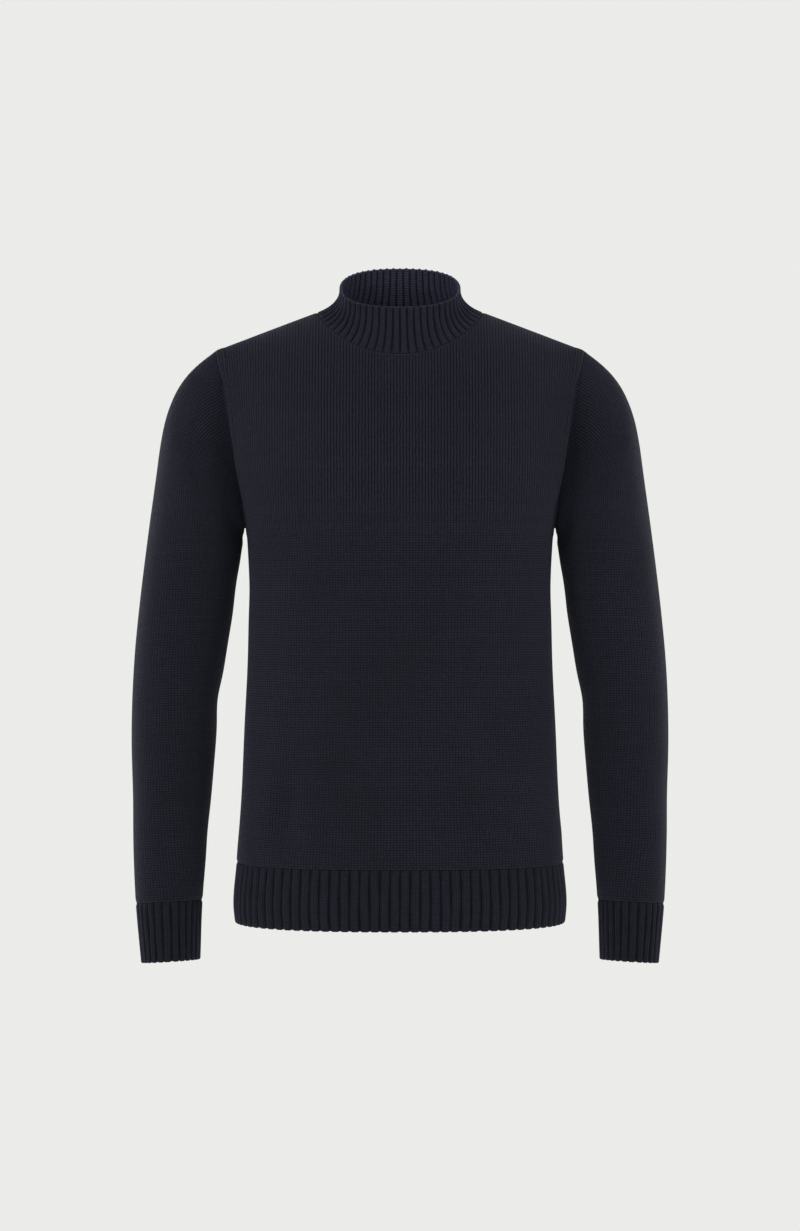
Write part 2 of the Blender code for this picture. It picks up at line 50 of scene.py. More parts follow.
# %% [markdown]
# ## Camera
#
# The picture was taken from straight in front, at the height of the sweater's middle, with a long lens.
# That keeps both sides of the body parallel. The lens could be guessed by eye. Here it comes from the
# picture's own scale: 1.12 mm of sweater to a pixel, 1231 pixels on the long side, seen from three metres.

# %% Camera
PICTURE_LONG_SIDE = 1231
MM_A_PIXEL = 1.12
CAMERA_AWAY = 3000
CAMERA_HEIGHT = -335.4
SENSOR = 36


def put_in_scene(name, data):
    """A new object of the scene that holds this mesh, lamp or camera."""
    thing = bpy.data.objects.new(name, data)
    bpy.context.scene.collection.objects.link(thing)
    return thing


camera_data = bpy.data.cameras.new("camera")
camera_data.sensor_width = SENSOR
camera_data.lens = SENSOR * CAMERA_AWAY / (PICTURE_LONG_SIDE * MM_A_PIXEL)
camera_data.clip_end = 50
camera = put_in_scene("camera", camera_data)
camera.location = (0, -CAMERA_AWAY * MM, CAMERA_HEIGHT * MM)
camera.rotation_euler = (math.pi / 2, 0, 0)
bpy.context.scene.camera = camera
print("lens:", round(camera_data.lens, 1), "mm")

# %% [markdown]
# ## Tables of sizes
#
# A garment is drawn by a few sizes at a few heights, and the cloth runs smoothly between them. A spline
# object could hold those curves. A plain table with named columns is easier to read and to change, so
# `read` draws a smooth curve through the rows of any table. It takes whole arrays of heights at once, which
# keeps the dense grids of this lesson quick.

# %% Smooth curves through tables
def read(table, key, column, at):
    """A column of a table, read on a smooth curve through its rows, wherever the key column is at."""
    keys, values = np.array(table[key], float), np.array(table[column], float)
    order = np.argsort(keys)
    keys, values = keys[order], values[order]
    slopes = np.gradient(values, keys)
    row = np.clip(np.searchsorted(keys, at) - 1, 0, len(keys) - 2)
    span = keys[row + 1] - keys[row]
    t = np.clip((at - keys[row]) / span, 0, 1)
    ends = values[row] * (1 + 2 * t) * (1 - t) ** 2 + values[row + 1] * t * t * (3 - 2 * t)
    return ends + span * t * (1 - t) * (slopes[row] * (1 - t) - slopes[row + 1] * t)


def unit(vectors):
    """Vectors of length one."""
    return vectors / np.maximum(np.linalg.norm(vectors, axis=-1, keepdims=True), 1e-9)


def smooth(low, high, at):
    """Rises from 0 at low to 1 at high, with soft ends."""
    t = np.clip((at - low) / (high - low), 0, 1)
    return t * t * (3 - 2 * t)


def squared_oval(turn, half_a, half_b, square):
    """Points of a squared oval: turn 0 lies on b's axis, a quarter turn on a's."""
    a, b = np.sin(turn), np.cos(turn)
    return half_a * np.sign(a) * abs(a) ** (2 / square), half_b * np.sign(b) * abs(b) ** (2 / square)


# %% [markdown]
# ## The body's form
#
# Seen from above, a worn sweater is a squared oval at every level: flat over the chest and the back,
# rounder at the sides. The half width of that oval is the outline seen from the front, and the two depths
# are the outline seen from the side. Above the chest line each thread of cloth leaves the chest straight up
# and curves over to the shoulder seam, so a Bezier curve draws it, cut off where the neckline crosses it.

# %% Body sizes
FRONT, BACK = -1, 1
HEM_Z, HEM_TOP_Z, UNDERARM_Z, CHEST_Z = -677.0, -610.0, -238.0, -170.0
SIDE_Y = 2.0  # the side and shoulder seams lie in this plane
PANEL_HALF = 245.0  # flat half width of the front and of the back
BODY = {
    "height": (-677, -663, -610, -540, -460, -380, -300, -238, -170),
    "half_width": (184.5, 186.0, 182.7, 177.5, 174.0, 170.2, 169.7, 172.0, 186.0),
    "front": (118, 120, 120, 116, 111, 111, 116, 121, 121),
    "back": (114, 116, 115, 106, 97, 95, 104, 113, 115),
    "square": (2.5, 2.5, 2.5, 2.5, 2.45, 2.45, 2.5, 2.55, 2.5),
}
NECK_HALF, NECK_SIDE_Z, NECK_SQUARE = 93.4, 3.9, 2.2  # the neckline, a squared oval from above
NECK = {
    -1: {"deep": 75.4, "crown": 0.0, "steep": 20.0, "pull": 0.36},
    1: {"deep": 60.0, "crown": 6.0, "steep": 0.0, "pull": 0.7},
}
SHOULDER_SLOPE, SHOULDER_X = 0.378, 207.0
SHOULDER_PULL, SLANT_PULL, FOOT_LEAN, TOP_LEAN = 0.55, 0.6, 0.35, 0.1
PANEL_EDGE = NECK_HALF + (SHOULDER_X - NECK_HALF) * math.hypot(1, SHOULDER_SLOPE)
OUTLINE_POINTS, HALVINGS = 181, 26


# %% Body surface
def level_outline(height, side):
    """A quarter of the body's level outline: x, y and the length run from the middle to the side."""
    turn = np.linspace(0, math.pi / 2, OUTLINE_POINTS)
    depth = read(BODY, "height", "front" if side == FRONT else "back", height)
    square = read(BODY, "height", "square", height)
    x, y = squared_oval(turn, read(BODY, "height", "half_width", height), depth, square)
    run = np.append(0, np.cumsum(np.hypot(np.diff(x), np.diff(y))))
    return x, SIDE_Y + side * y, run


def stretch_at(height, side):
    """How much of the outline's length one millimetre of the panel's width covers."""
    return level_outline(min(height, UNDERARM_Z), side)[2][-1] / PANEL_HALF


def level_row(across, height, side):
    """The cloth at one height, for places that lie this far across the panel."""
    x, y, run = level_outline(height, side)
    at = abs(across) * stretch_at(height, side)
    level_x = np.sign(across) * np.interp(at, run, x)
    return np.stack((level_x, np.interp(at, run, y), np.full_like(at, height)), axis=-1)


def over_shoulder(across, share, side):
    """The cloth above the chest line, a share of the way along its curve to the shoulders."""
    foot = level_row(across, CHEST_Z, side)
    inside = np.maximum(0, 1 - (across / NECK_HALF) ** 2)
    past = np.maximum(0, abs(across) - NECK_HALF) / math.hypot(1, SHOULDER_SLOPE)
    ridge = SHOULDER_SLOPE * (NECK_HALF / 2 * inside - past) + NECK[side]["crown"] * inside ** 2
    x = np.sign(across) * (np.minimum(abs(across), NECK_HALF) + past)
    top = np.stack((x, np.full_like(x, SIDE_Y), NECK_SIDE_Z + ridge), axis=-1)
    steep = math.radians(NECK[side]["steep"]) * inside
    lean, reach, height = (top - foot).T
    near_neck = np.maximum(0, 1 - (across / PANEL_EDGE) ** 2)
    keep = SHOULDER_PULL + (NECK[side]["pull"] - SHOULDER_PULL) * near_neck
    pull = keep * (abs(reach) * np.cos(steep) + SLANT_PULL * height * np.sin(steep))
    near = foot + np.stack((FOOT_LEAN * lean, 0 * lean, keep * height), axis=-1)
    far = top + np.stack((-TOP_LEAN * lean, side * pull * np.cos(steep), -pull * np.sin(steep)), axis=-1)
    share = np.broadcast_to(share, across.shape)[:, None]
    rest = 1 - share
    return rest ** 3 * foot + 3 * rest * rest * share * near + 3 * rest * share ** 2 * far + share ** 3 * top


def halve(low, high, too_low):
    """The places between low and high where too_low turns false, found by halving."""
    for _ in range(HALVINGS):
        middle = (low + high) / 2
        under = too_low(middle)
        low, high = np.where(under, middle, low), np.where(under, high, middle)
    return (low + high) / 2


def upper_share(across, side):
    """How far up its curve the cloth goes before it meets the neckline."""
    inside = np.maximum(0, 1 - abs(across / NECK_HALF) ** NECK_SQUARE)
    oval_y = NECK[side]["deep"] * inside ** (1 / NECK_SQUARE)

    def outside_neck(share):
        """Whether the cloth there has still to reach the neckline."""
        return (over_shoulder(across, share, side)[:, 1] - SIDE_Y) * side > oval_y

    met = halve(np.zeros_like(across), np.ones_like(across), outside_neck)
    return np.where(abs(across) < NECK_HALF, met, 1.0)


def level_of(height):
    """The level of a height below the chest line: 0 is the hem's lower edge and 1 the chest line."""
    return (height - HEM_Z) / (CHEST_Z - HEM_Z)


def body_row(across, level, side, top):
    """A row of the body's cloth. top is its upper share, and level 2 is the upper edge."""
    if level > 1:
        return over_shoulder(across, np.clip((level - 1) * top, 0, 1), side)
    return level_row(across, HEM_Z + level * (CHEST_Z - HEM_Z), side)


def body_cloth(across, levels, side):
    """A grid of the body's cloth and the directions out of it. across holds one row for each level."""
    points, out, step, rise = [], [], 0.6, 0.005
    for row, level in zip(across, levels):
        top = upper_share(row, side) if level > 1 else np.ones_like(row)
        wide = body_row(row + step, level, side, top) - body_row(row - step, level, side, top)
        if level > 1:
            share = (level - 1) * top
            above, below = np.minimum(share + rise, 1), np.maximum(share - rise, 0)
            tall = over_shoulder(row, above, side) - over_shoulder(row, below, side)
        else:
            tall = body_row(row, level, side, top) - body_row(row, max(level - rise, 0), side, top)
        points.append(body_row(row, level, side, top))
        out.append(unit(np.cross(tall if level >= rise else (0, 0, 1.0), wide) * side))
    return np.array(points), np.array(out)


# %% [markdown]
# ## Armholes
#
# The armhole is a tall egg when seen from the side, a little deeper to the back than to the front. It could
# be cut out with a Boolean, but that leaves a ragged edge. Each row of stitches simply ends at the curve
# instead, as it does in knitting, where stitches are cast off row by row.

# %% Armhole line
ARMHOLE_MID_Z = -150.0
ARMHOLE_DEPTH = {FRONT: 36.0, BACK: 40.0}
ARMHOLE_TOP_SQUARE, ARMHOLE_LOW_SQUARE = 2.0, 2.3
ARMHOLE_REACH = 30.0  # how far past the flat panel's half its line is looked for
ARMHOLE_ROWS = 76  # rows of the grid along it, from the shoulder to the underarm


def armhole_line(side):
    """Where the armhole lies on the panel, from the shoulder down: across and level."""
    turn = np.linspace(0, math.pi, ARMHOLE_ROWS + 1)
    shoulder_z = NECK_SIDE_Z - SHOULDER_SLOPE * (SHOULDER_X - NECK_HALF)
    upper = turn < math.pi / 2
    rise = np.where(upper, shoulder_z - ARMHOLE_MID_Z, ARMHOLE_MID_Z - UNDERARM_Z)
    square = np.where(upper, ARMHOLE_TOP_SQUARE, ARMHOLE_LOW_SQUARE)
    y, z = squared_oval(turn, ARMHOLE_DEPTH[side], rise, square)
    z = z + ARMHOLE_MID_Z
    across, level = np.zeros_like(z), np.zeros_like(z)
    for i in np.flatnonzero(z <= CHEST_Z):
        _, outline_y, run = level_outline(z[i], side)
        across[i] = np.interp(-y[i], -abs(outline_y - SIDE_Y), run) / stretch_at(z[i], side)
        level[i] = level_of(z[i])
    high = z > CHEST_Z
    goal_y, goal_z = y[high], z[high]

    def share_at(places):
        """How far up its curve the cloth reaches the line's heights."""
        zeros = np.zeros_like(places)
        return halve(zeros, zeros + 1, lambda share: over_shoulder(places, share, side)[:, 2] < goal_z)

    def short_of_line(places):
        """Whether the cloth there still lies inside the armhole's line."""
        return (over_shoulder(places, share_at(places), side)[:, 1] - SIDE_Y) * side > goal_y

    nearest_neck, farthest = np.full_like(goal_y, NECK_HALF), np.full_like(goal_y, PANEL_HALF + ARMHOLE_REACH)
    across[high] = halve(nearest_neck, farthest, short_of_line)
    level[high] = 1 + share_at(across[high])
    across[0], level[0] = PANEL_EDGE, 2.0
    across[-1], level[-1] = PANEL_HALF, level_of(UNDERARM_Z)
    return across, level


ARMHOLES = {side: armhole_line(side) for side in (FRONT, BACK)}
print("armhole, across mm:", [round(a) for a in ARMHOLES[FRONT][0][::14]])

# %% [markdown]
# ## Soft folds
#
# A filled sweater of this weight has no sharp creases. It has long shallow dents that run from the
# underarms to the chest, slack above the hem band, and short ones across the inside of the elbows. Cloth
# simulation could find such folds. They are placed one by one here, each a soft hollow or ridge with its own
# length, width and direction, because then they lie where the picture has them, and similar ones lie on the
# back.

# %% Folds of the body
FOLDS_FADE = 30.0  # above the hem band
BODY_FOLDS = (  # side, x, z, turn, length, width, rise
    (FRONT, -112, -262, 38, 85, 24, -2.6),
    (FRONT, 118, -268, -36, 80, 26, -2.4),
    (FRONT, -70, -520, 62, 95, 30, -3.0),
    (FRONT, 60, -545, -70, 105, 28, -2.6),
    (FRONT, 0, -590, 4, 150, 16, 1.8),
    (BACK, -95, -270, 34, 90, 26, -2.8),
    (BACK, 100, -262, -38, 85, 24, -2.6),
    (BACK, 0, -430, 0, 120, 26, -3.4),
    (BACK, -50, -560, 66, 100, 30, -2.6),
    (FRONT, -122, -550, 82, 48, 17, -5.5),
    (FRONT, 96, -480, -74, 90, 18, -2),
    (FRONT, -30, -440, 84, 110, 22, -1.6),
    (FRONT, 34, -585, 12, 60, 9, 0.9),
    (FRONT, 132, -585, -40, 40, 10, -2.4),
    (BACK, -120, -500, 70, 85, 18, -2.4),
    (BACK, 40, -596, 8, 110, 10, 0.9),
    (BACK, 120, -420, -78, 75, 17, -2.2),
    (FRONT, -146, -548, 84, 46, 12, 2.4),
    (BACK, 148, -552, -84, 50, 14, 2.2),
)


def body_folds(points, side):
    """How far the soft folds lift the body's cloth at each point. They fade out into the hem band."""
    rise = np.zeros(points.shape[:-1])
    for on, x, z, turn, length, width, height in BODY_FOLDS:
        c, s = math.cos(math.radians(turn)), math.sin(math.radians(turn))
        along = (points[..., 0] - x) * c + (points[..., 2] - z) * s
        beside = (points[..., 2] - z) * c - (points[..., 0] - x) * s
        rise += (on == side) * height * np.exp(-(along / length) ** 2 - (beside / width) ** 2)
    return rise * np.clip((points[..., 2] - HEM_TOP_Z) / FOLDS_FADE, 0, 1)


def folded_body(across, levels, side):
    """The outside of the body's cloth with its folds, and the directions out of it."""
    points, out = body_cloth(across, levels, side)
    return points + out * body_folds(points, side)[..., None], out


# %% [markdown]
# ## From a grid to a piece of cloth
#
# Knitting is a grid already: wales run up it and courses run across. So each piece is a grid of points with
# a second grid behind it, one wall apart, joined round the rim. A Solidify modifier does the same but can't
# round the rims or put ribs on both faces. A UV map counts the stitches, one unit to a wale and one to a
# course, and the material draws a stitch in every unit.

# %% Thin cloth from grids
WALE, COURSE = 3.45, 2.7  # the width and height of one stitch
PLAIN_WALL = 2.2
ROLL_LEFT = 0.03  # squared, the share of the wall left at a rim
SHOULDER_EDGE_Z, SHOULDER_EDGE_X, EDGE_HOLDS = (-85, -55), (165, 185), 0.85


def runs(points, axis):
    """How far along its row or column each point of a grid lies, in millimetres."""
    steps = np.linalg.norm(np.diff(points, axis=axis), axis=-1)
    first = np.zeros_like(np.take(steps, [0], axis=axis))
    return np.cumsum(np.concatenate((first, steps), axis=axis), axis=axis)


def rim_roll(distance, radius):
    """The share of the wall's thickness left at this distance from a rim: a quarter circle."""
    return np.sqrt(np.maximum(ROLL_LEFT, 1 - (1 - np.clip(distance / radius, 0, 1)) ** 2))


def sewn_in(points):
    """How much a seam draws the cloth in: fully, but little where it crosses the shoulder's edge."""
    on_edge = smooth(*SHOULDER_EDGE_Z, points[..., 2]) * smooth(*SHOULDER_EDGE_X, abs(points[..., 0]))
    return 1 - EDGE_HOLDS * on_edge


def hollow(distance, width):
    """A soft hollow along a seam: 1 on the seam, and fading over this width."""
    return np.exp(-(distance / width) ** 2)


def plain_faces(points, out, roll, lift, inner_lift):
    """The two faces of plain knitting, from its outside, the share of its wall and how far each face lifts."""
    middle, half = points - out * PLAIN_WALL / 2, PLAIN_WALL / 2 * roll
    return middle + out * (half + lift)[..., None], middle - out * (half - inner_lift)[..., None]


def cloth(name, outside, inside, stitches, materials, around=False, same=None, marks=None):
    """A piece of cloth from its two grids of points. stitches holds each corner's wale and course.
    around closes the rows on themselves. same gives, for each point, the one it coincides with."""
    rows, columns = outside.shape[:2]
    grid = np.arange(rows * columns).reshape(rows, columns) if same is None else same
    counts = stitches.reshape(-1, 2)
    corner = np.arange(stitches.shape[0] * stitches.shape[1]).reshape(stitches.shape[:2])
    if around:
        grid = np.hstack((grid, grid[:, :1]))
    behind = grid + rows * columns

    def quads(g):
        """The four corners of every square of a grid."""
        return np.stack((g[:-1, :-1], g[:-1, 1:], g[1:, 1:], g[1:, :-1]), axis=-1).reshape(-1, 4)

    def closed_sheet(near, far):
        """The squares of a grid, of the one behind it, and of the rims that join them."""
        ends = [(near[0], far[0]), (near[-1, ::-1], far[-1, ::-1])]
        if not around:
            ends += [(near[::-1, 0], far[::-1, 0]), (near[:, -1], far[:, -1])]
        rims = [np.stack((line[1:], line[:-1], other[:-1], other[1:]), axis=-1) for line, other in ends]
        return np.concatenate([quads(near), quads(far)[:, ::-1]] + rims)

    faces, tags = closed_sheet(grid, behind), closed_sheet(corner, corner)
    one_face = len(quads(grid))
    slots = np.repeat((0, 1, 0), (one_face, one_face, len(faces) - 2 * one_face))
    points = np.concatenate((outside.reshape(-1, 3), inside.reshape(-1, 3)))
    row, column = rows // 2, columns // 2
    middle = grid[row, column], grid[row, column + 1], grid[row + 1, column], behind[row, column]
    a, b, c, inner = points[list(middle)]
    if np.dot(np.cross(b - a, c - a), a - inner) < 0:
        faces, tags = faces[:, ::-1], tags[:, ::-1]
    kept = [[k for k in range(4) if face[k] != face[k - 1]] for face in faces]
    shapes = [(face[k], tag[k], slot) for face, tag, slot, k in zip(faces, tags, slots, kept) if len(k) > 2]
    used = np.unique(np.concatenate([shape[0] for shape in shapes]))
    place = np.zeros(len(points), int)
    place[used] = np.arange(len(used))
    mesh = bpy.data.meshes.new(name)
    mesh.from_pydata(points[used] * MM, [], [place[shape[0]].tolist() for shape in shapes])
    corners = np.concatenate([counts[shape[1]] for shape in shapes])
    mesh.uv_layers.new(name="stitches").data.foreach_set("uv", corners.ravel())
    mesh.polygons.foreach_set("material_index", [shape[2] for shape in shapes])
    for title, values in (marks or {}).items():
        both = np.broadcast_to(values, (2, rows, columns)).ravel()[used]
        mesh.attributes.new(title, "FLOAT", "POINT").data.foreach_set("value", both.astype(np.float32))
    for material in materials:
        mesh.materials.append(material)
    mesh.shade_smooth()
    piece = put_in_scene(name, mesh)
    print(f"{name}: {sum(len(shape[0]) - 2 for shape in shapes)} triangles")
    return piece


# %% [markdown]
# ## Stitches as a shader group
#
# Plain knitting is rows of small V shapes: each stitch has two legs that meet at the wale's middle. About a
# thousand of them lie under a hand, too many to model, so a shader group draws them from the UV map that
# counts wales and courses. A leg is a slanted thread with a round back, the legs of one wale bulge, and a
# gap lies between two wales. The group gives a height for the bump, a mask for the gaps, which the material
# darkens as painted shade, and a shade of its own for each stitch, as no two are pulled quite alike. Over
# the chest the cloth's weight pulls the wales apart, and below it the cloth hangs slack and its rows show
# more, so a slack value shares the gaps' painted shade between the two.

# %% Small helpers for shader trees
def feed(tree, node, inputs):
    """Sets inputs of a node. Each gets a number, a colour or the socket that feeds it."""
    for name, value in dict(inputs).items():
        if isinstance(value, bpy.types.NodeSocket):
            tree.links.new(value, node.inputs[name])
        else:
            node.inputs[name].default_value = value


def add_node(tree, kind, inputs=(), **settings):
    """A new shader node with its settings and inputs."""
    node = tree.nodes.new(f"ShaderNode{kind}")
    for name, value in settings.items():
        setattr(node, name, value)
    feed(tree, node, inputs)
    return node


def calc(tree, operation, *inputs):
    """A Math node's result."""
    return add_node(tree, "Math", enumerate(inputs), operation=operation).outputs[0]


def between(tree, value, low, high, to_low=0.0, to_high=1.0):
    """A Map Range node's result, with soft ends."""
    inputs = {"Value": value, "From Min": low, "From Max": high, "To Min": to_low, "To Max": to_high}
    return add_node(tree, "MapRange", inputs, interpolation_type="SMOOTHSTEP").outputs["Result"]


def group(name, inputs, outputs):
    """An empty shader group. inputs and outputs are names with socket types."""
    tree = bpy.data.node_groups.new(name, "ShaderNodeTree")
    for way, sockets in (("INPUT", inputs), ("OUTPUT", outputs)):
        for title, kind in sockets.items():
            tree.interface.new_socket(name=title, in_out=way, socket_type=f"NodeSocket{kind}")
    return tree, tree.nodes.new("NodeGroupInput").outputs, tree.nodes.new("NodeGroupOutput")


def noise(tree, vector, scale, detail=2.0):
    """A noise texture's value."""
    return add_node(tree, "TexNoise", {"Vector": vector, "Scale": scale, "Detail": detail}).outputs["Fac"]


def by_chance(tree, first, second):
    """A value between 0 and 1 that is new for each pair of whole numbers."""
    pair = add_node(tree, "CombineXYZ", {"X": first, "Y": second}).outputs["Vector"]
    return add_node(tree, "TexWhiteNoise", {"Vector": pair}, noise_dimensions="2D").outputs["Value"]


# %% The group of knit stitches
LEG_RELIEF = 0.42  # the share of a stitch's height that lies in its thread's round back
PURL_BOW, ROW_BEND = 0.22, 0.3  # in courses, how far a purl bump and a row bend inside one stitch
SLACK_CLOSES, ROWS_SHOW = 0.45, 0.3  # slack cloth's loss of wale gaps, and tight cloth's share of row gaps
OWN_SHADE = 0.6  # the share of its shade that a stitch has to itself, the rest being its row's
DRIFT_SCALE = 0.35  # noise waves to a stitch


def knit_stitches():
    """Height, gap mask and shade of plain knitting. Purl turns the legs into the bumps of the other side."""
    inputs = {"Stitches": "Vector"} | dict.fromkeys(("Wander", "Purl", "Slack"), "Float")
    tree, given, result = group("knit_stitches", inputs, dict.fromkeys(("Height", "Gap", "Shade"), "Float"))
    split = add_node(tree, "SeparateXYZ", {"Vector": given["Stitches"]})
    drift = calc(tree, "SUBTRACT", noise(tree, given["Stitches"], DRIFT_SCALE), 0.5)
    wale = calc(tree, "MULTIPLY_ADD", drift, given["Wander"], split.outputs["X"])
    course = calc(tree, "MULTIPLY_ADD", drift, given["Wander"], split.outputs["Y"])
    from_middle = calc(tree, "ABSOLUTE", calc(tree, "SUBTRACT", calc(tree, "FRACT", wale), 0.5))
    slanted = calc(tree, "SUBTRACT", course, from_middle)
    thread = calc(tree, "SINE", calc(tree, "MULTIPLY", calc(tree, "FRACT", slanted), math.pi))
    leg = calc(tree, "MULTIPLY_ADD", calc(tree, "POWER", thread, 0.6), LEG_RELIEF, 1 - LEG_RELIEF)
    bulge = between(tree, from_middle, 0.5, 0.27)
    cleft = between(tree, from_middle, 0.0, 0.1, 0.72, 1.0)
    knit = calc(tree, "MULTIPLY", calc(tree, "MULTIPLY", bulge, cleft), leg)
    wave = calc(tree, "COSINE", calc(tree, "MULTIPLY", wale, 2 * math.pi))
    arc = calc(tree, "FRACT", calc(tree, "MULTIPLY_ADD", wave, PURL_BOW, course))
    purl = calc(tree, "POWER", calc(tree, "SINE", calc(tree, "MULTIPLY", arc, math.pi)), 0.7)
    turned = calc(tree, "MULTIPLY", calc(tree, "SUBTRACT", purl, knit), given["Purl"])
    height = calc(tree, "ADD", knit, turned)
    course_of = calc(tree, "FLOOR", slanted)
    own = by_chance(tree, calc(tree, "FLOOR", wale), course_of)
    row = by_chance(tree, course_of, calc(tree, "MULTIPLY", course_of, 0.37))
    # The gaps between wales and between rows: a mask that the material darkens as painted shade.
    wales_apart = calc(tree, "MULTIPLY_ADD", given["Slack"], -SLACK_CLOSES, 1.0)
    wale_gap = calc(tree, "MULTIPLY", between(tree, from_middle, 0.27, 0.42), wales_apart)
    row_bent = calc(tree, "FRACT", calc(tree, "MULTIPLY_ADD", from_middle, -ROW_BEND, course))
    from_row = calc(tree, "ABSOLUTE", calc(tree, "SUBTRACT", row_bent, 0.5))
    courses_apart = calc(tree, "MULTIPLY_ADD", given["Slack"], 1 - ROWS_SHOW, ROWS_SHOW)
    course_gap = calc(tree, "MULTIPLY", between(tree, from_row, 0.3, 0.44), courses_apart)
    shade = calc(tree, "MULTIPLY_ADD", own, OWN_SHADE, calc(tree, "MULTIPLY", row, 1 - OWN_SHADE))
    gap = calc(tree, "MAXIMUM", wale_gap, course_gap)
    feed(tree, result, {"Height": height, "Gap": gap, "Shade": shade})
    return tree


STITCHES = knit_stitches()
print("group:", STITCHES.name, [item.name for item in STITCHES.interface.items_tree])

# %% [markdown]
# ## Yarn as a shader group
#
# The yarn is wool dyed navy before it was spun, so single fibres are lighter, bluer or nearly black, and a
# soft halo of them stands off every thread. A flat colour looks like plastic at once. This group mottles
# the dye at three sizes: slow clouds over a hand's width, flecks the size of a stitch, and fibre grain
# inside a thread. It also paints shade into the gaps between stitches, and paints light that makes marked
# places paler.

# %% The group of dyed wool
CLOUDS, FLECKS, FIBRES = 9.0, 420.0, 2600.0  # noise scales, to a metre
OWN_SHADES = 0.3  # how much lighter the lightest stitch is than the darkest
# How much paler painted light makes a place that is marked with it.
PAINTED_LIGHT_GAIN = 0.35


def dyed_wool():
    """The yarn's colour, from the dye and the stitches, with painted shade in the gaps and painted light where
    marked.
    """
    inputs = {"Dye": "Color", "Place": "Vector"} | dict.fromkeys(("Shade", "Gap", "Depth", "Painted light"), "Float")
    tree, given, result = group("dyed_wool", inputs, {"Colour": "Color", "Fuzz": "Float"})
    clouds = between(tree, noise(tree, given["Place"], CLOUDS, 3.0), 0.32, 0.68, 0.93, 1.07)
    flecks = between(tree, noise(tree, given["Place"], FLECKS), 0.3, 0.75, 0.88, 1.16)
    fibres = noise(tree, given["Place"], FIBRES)
    grain = between(tree, fibres, 0.3, 0.7, 0.88, 1.12)
    own = calc(tree, "MULTIPLY_ADD", given["Shade"], OWN_SHADES, 1 - OWN_SHADES / 2)
    # Painted shade in the gaps, and painted light where marked.
    shaded = calc(tree, "SUBTRACT", 1.0, calc(tree, "MULTIPLY", given["Gap"], given["Depth"]))
    painted_lift = calc(tree, "MULTIPLY_ADD", given["Painted light"], PAINTED_LIGHT_GAIN, 1.0)
    value = clouds
    for factor in (flecks, grain, own, shaded, painted_lift):
        value = calc(tree, "MULTIPLY", value, factor)
    scaled = add_node(tree, "VectorMath", {0: given["Dye"], "Scale": value}, operation="SCALE")
    feed(tree, result, {"Colour": scaled.outputs["Vector"], "Fuzz": fibres})
    return tree


WOOL = dyed_wool()
print("group:", WOOL.name, [item.name for item in WOOL.interface.items_tree])

# %% [markdown]
# ## The knitted materials
#
# Wool scatters light in its fibres, so it is matt with a faint pale sheen where it turns away. The
# Principled BSDF's own sheen gives that, and stays a plain number on its socket. All the cloth shares one
# recipe with its own values: plain knitting outside, its purl side inside, and rib whose grooves get
# painted shade.
# Beside an armhole the stitches run along the seam for three wales, as the knitter narrows the piece there,
# so the material changes over to stitches counted from the seam.

# %% Knitted materials
DYE = (0.0165, 0.0172, 0.0292)
SHEEN_TINT = (0.42, 0.45, 0.62, 1)
BAND_WALES = 3
SLACK_BELOW = (-0.19, -0.27)  # heights in metres between which the cloth goes slack
STITCH_WANDER = 0.5  # in stitches, how unevenly they lie
FUZZ_HIGH = 0.22  # how high the fibre grain stands on a stitch of height 1
ROUGHNESS = (0.78, 0.94)


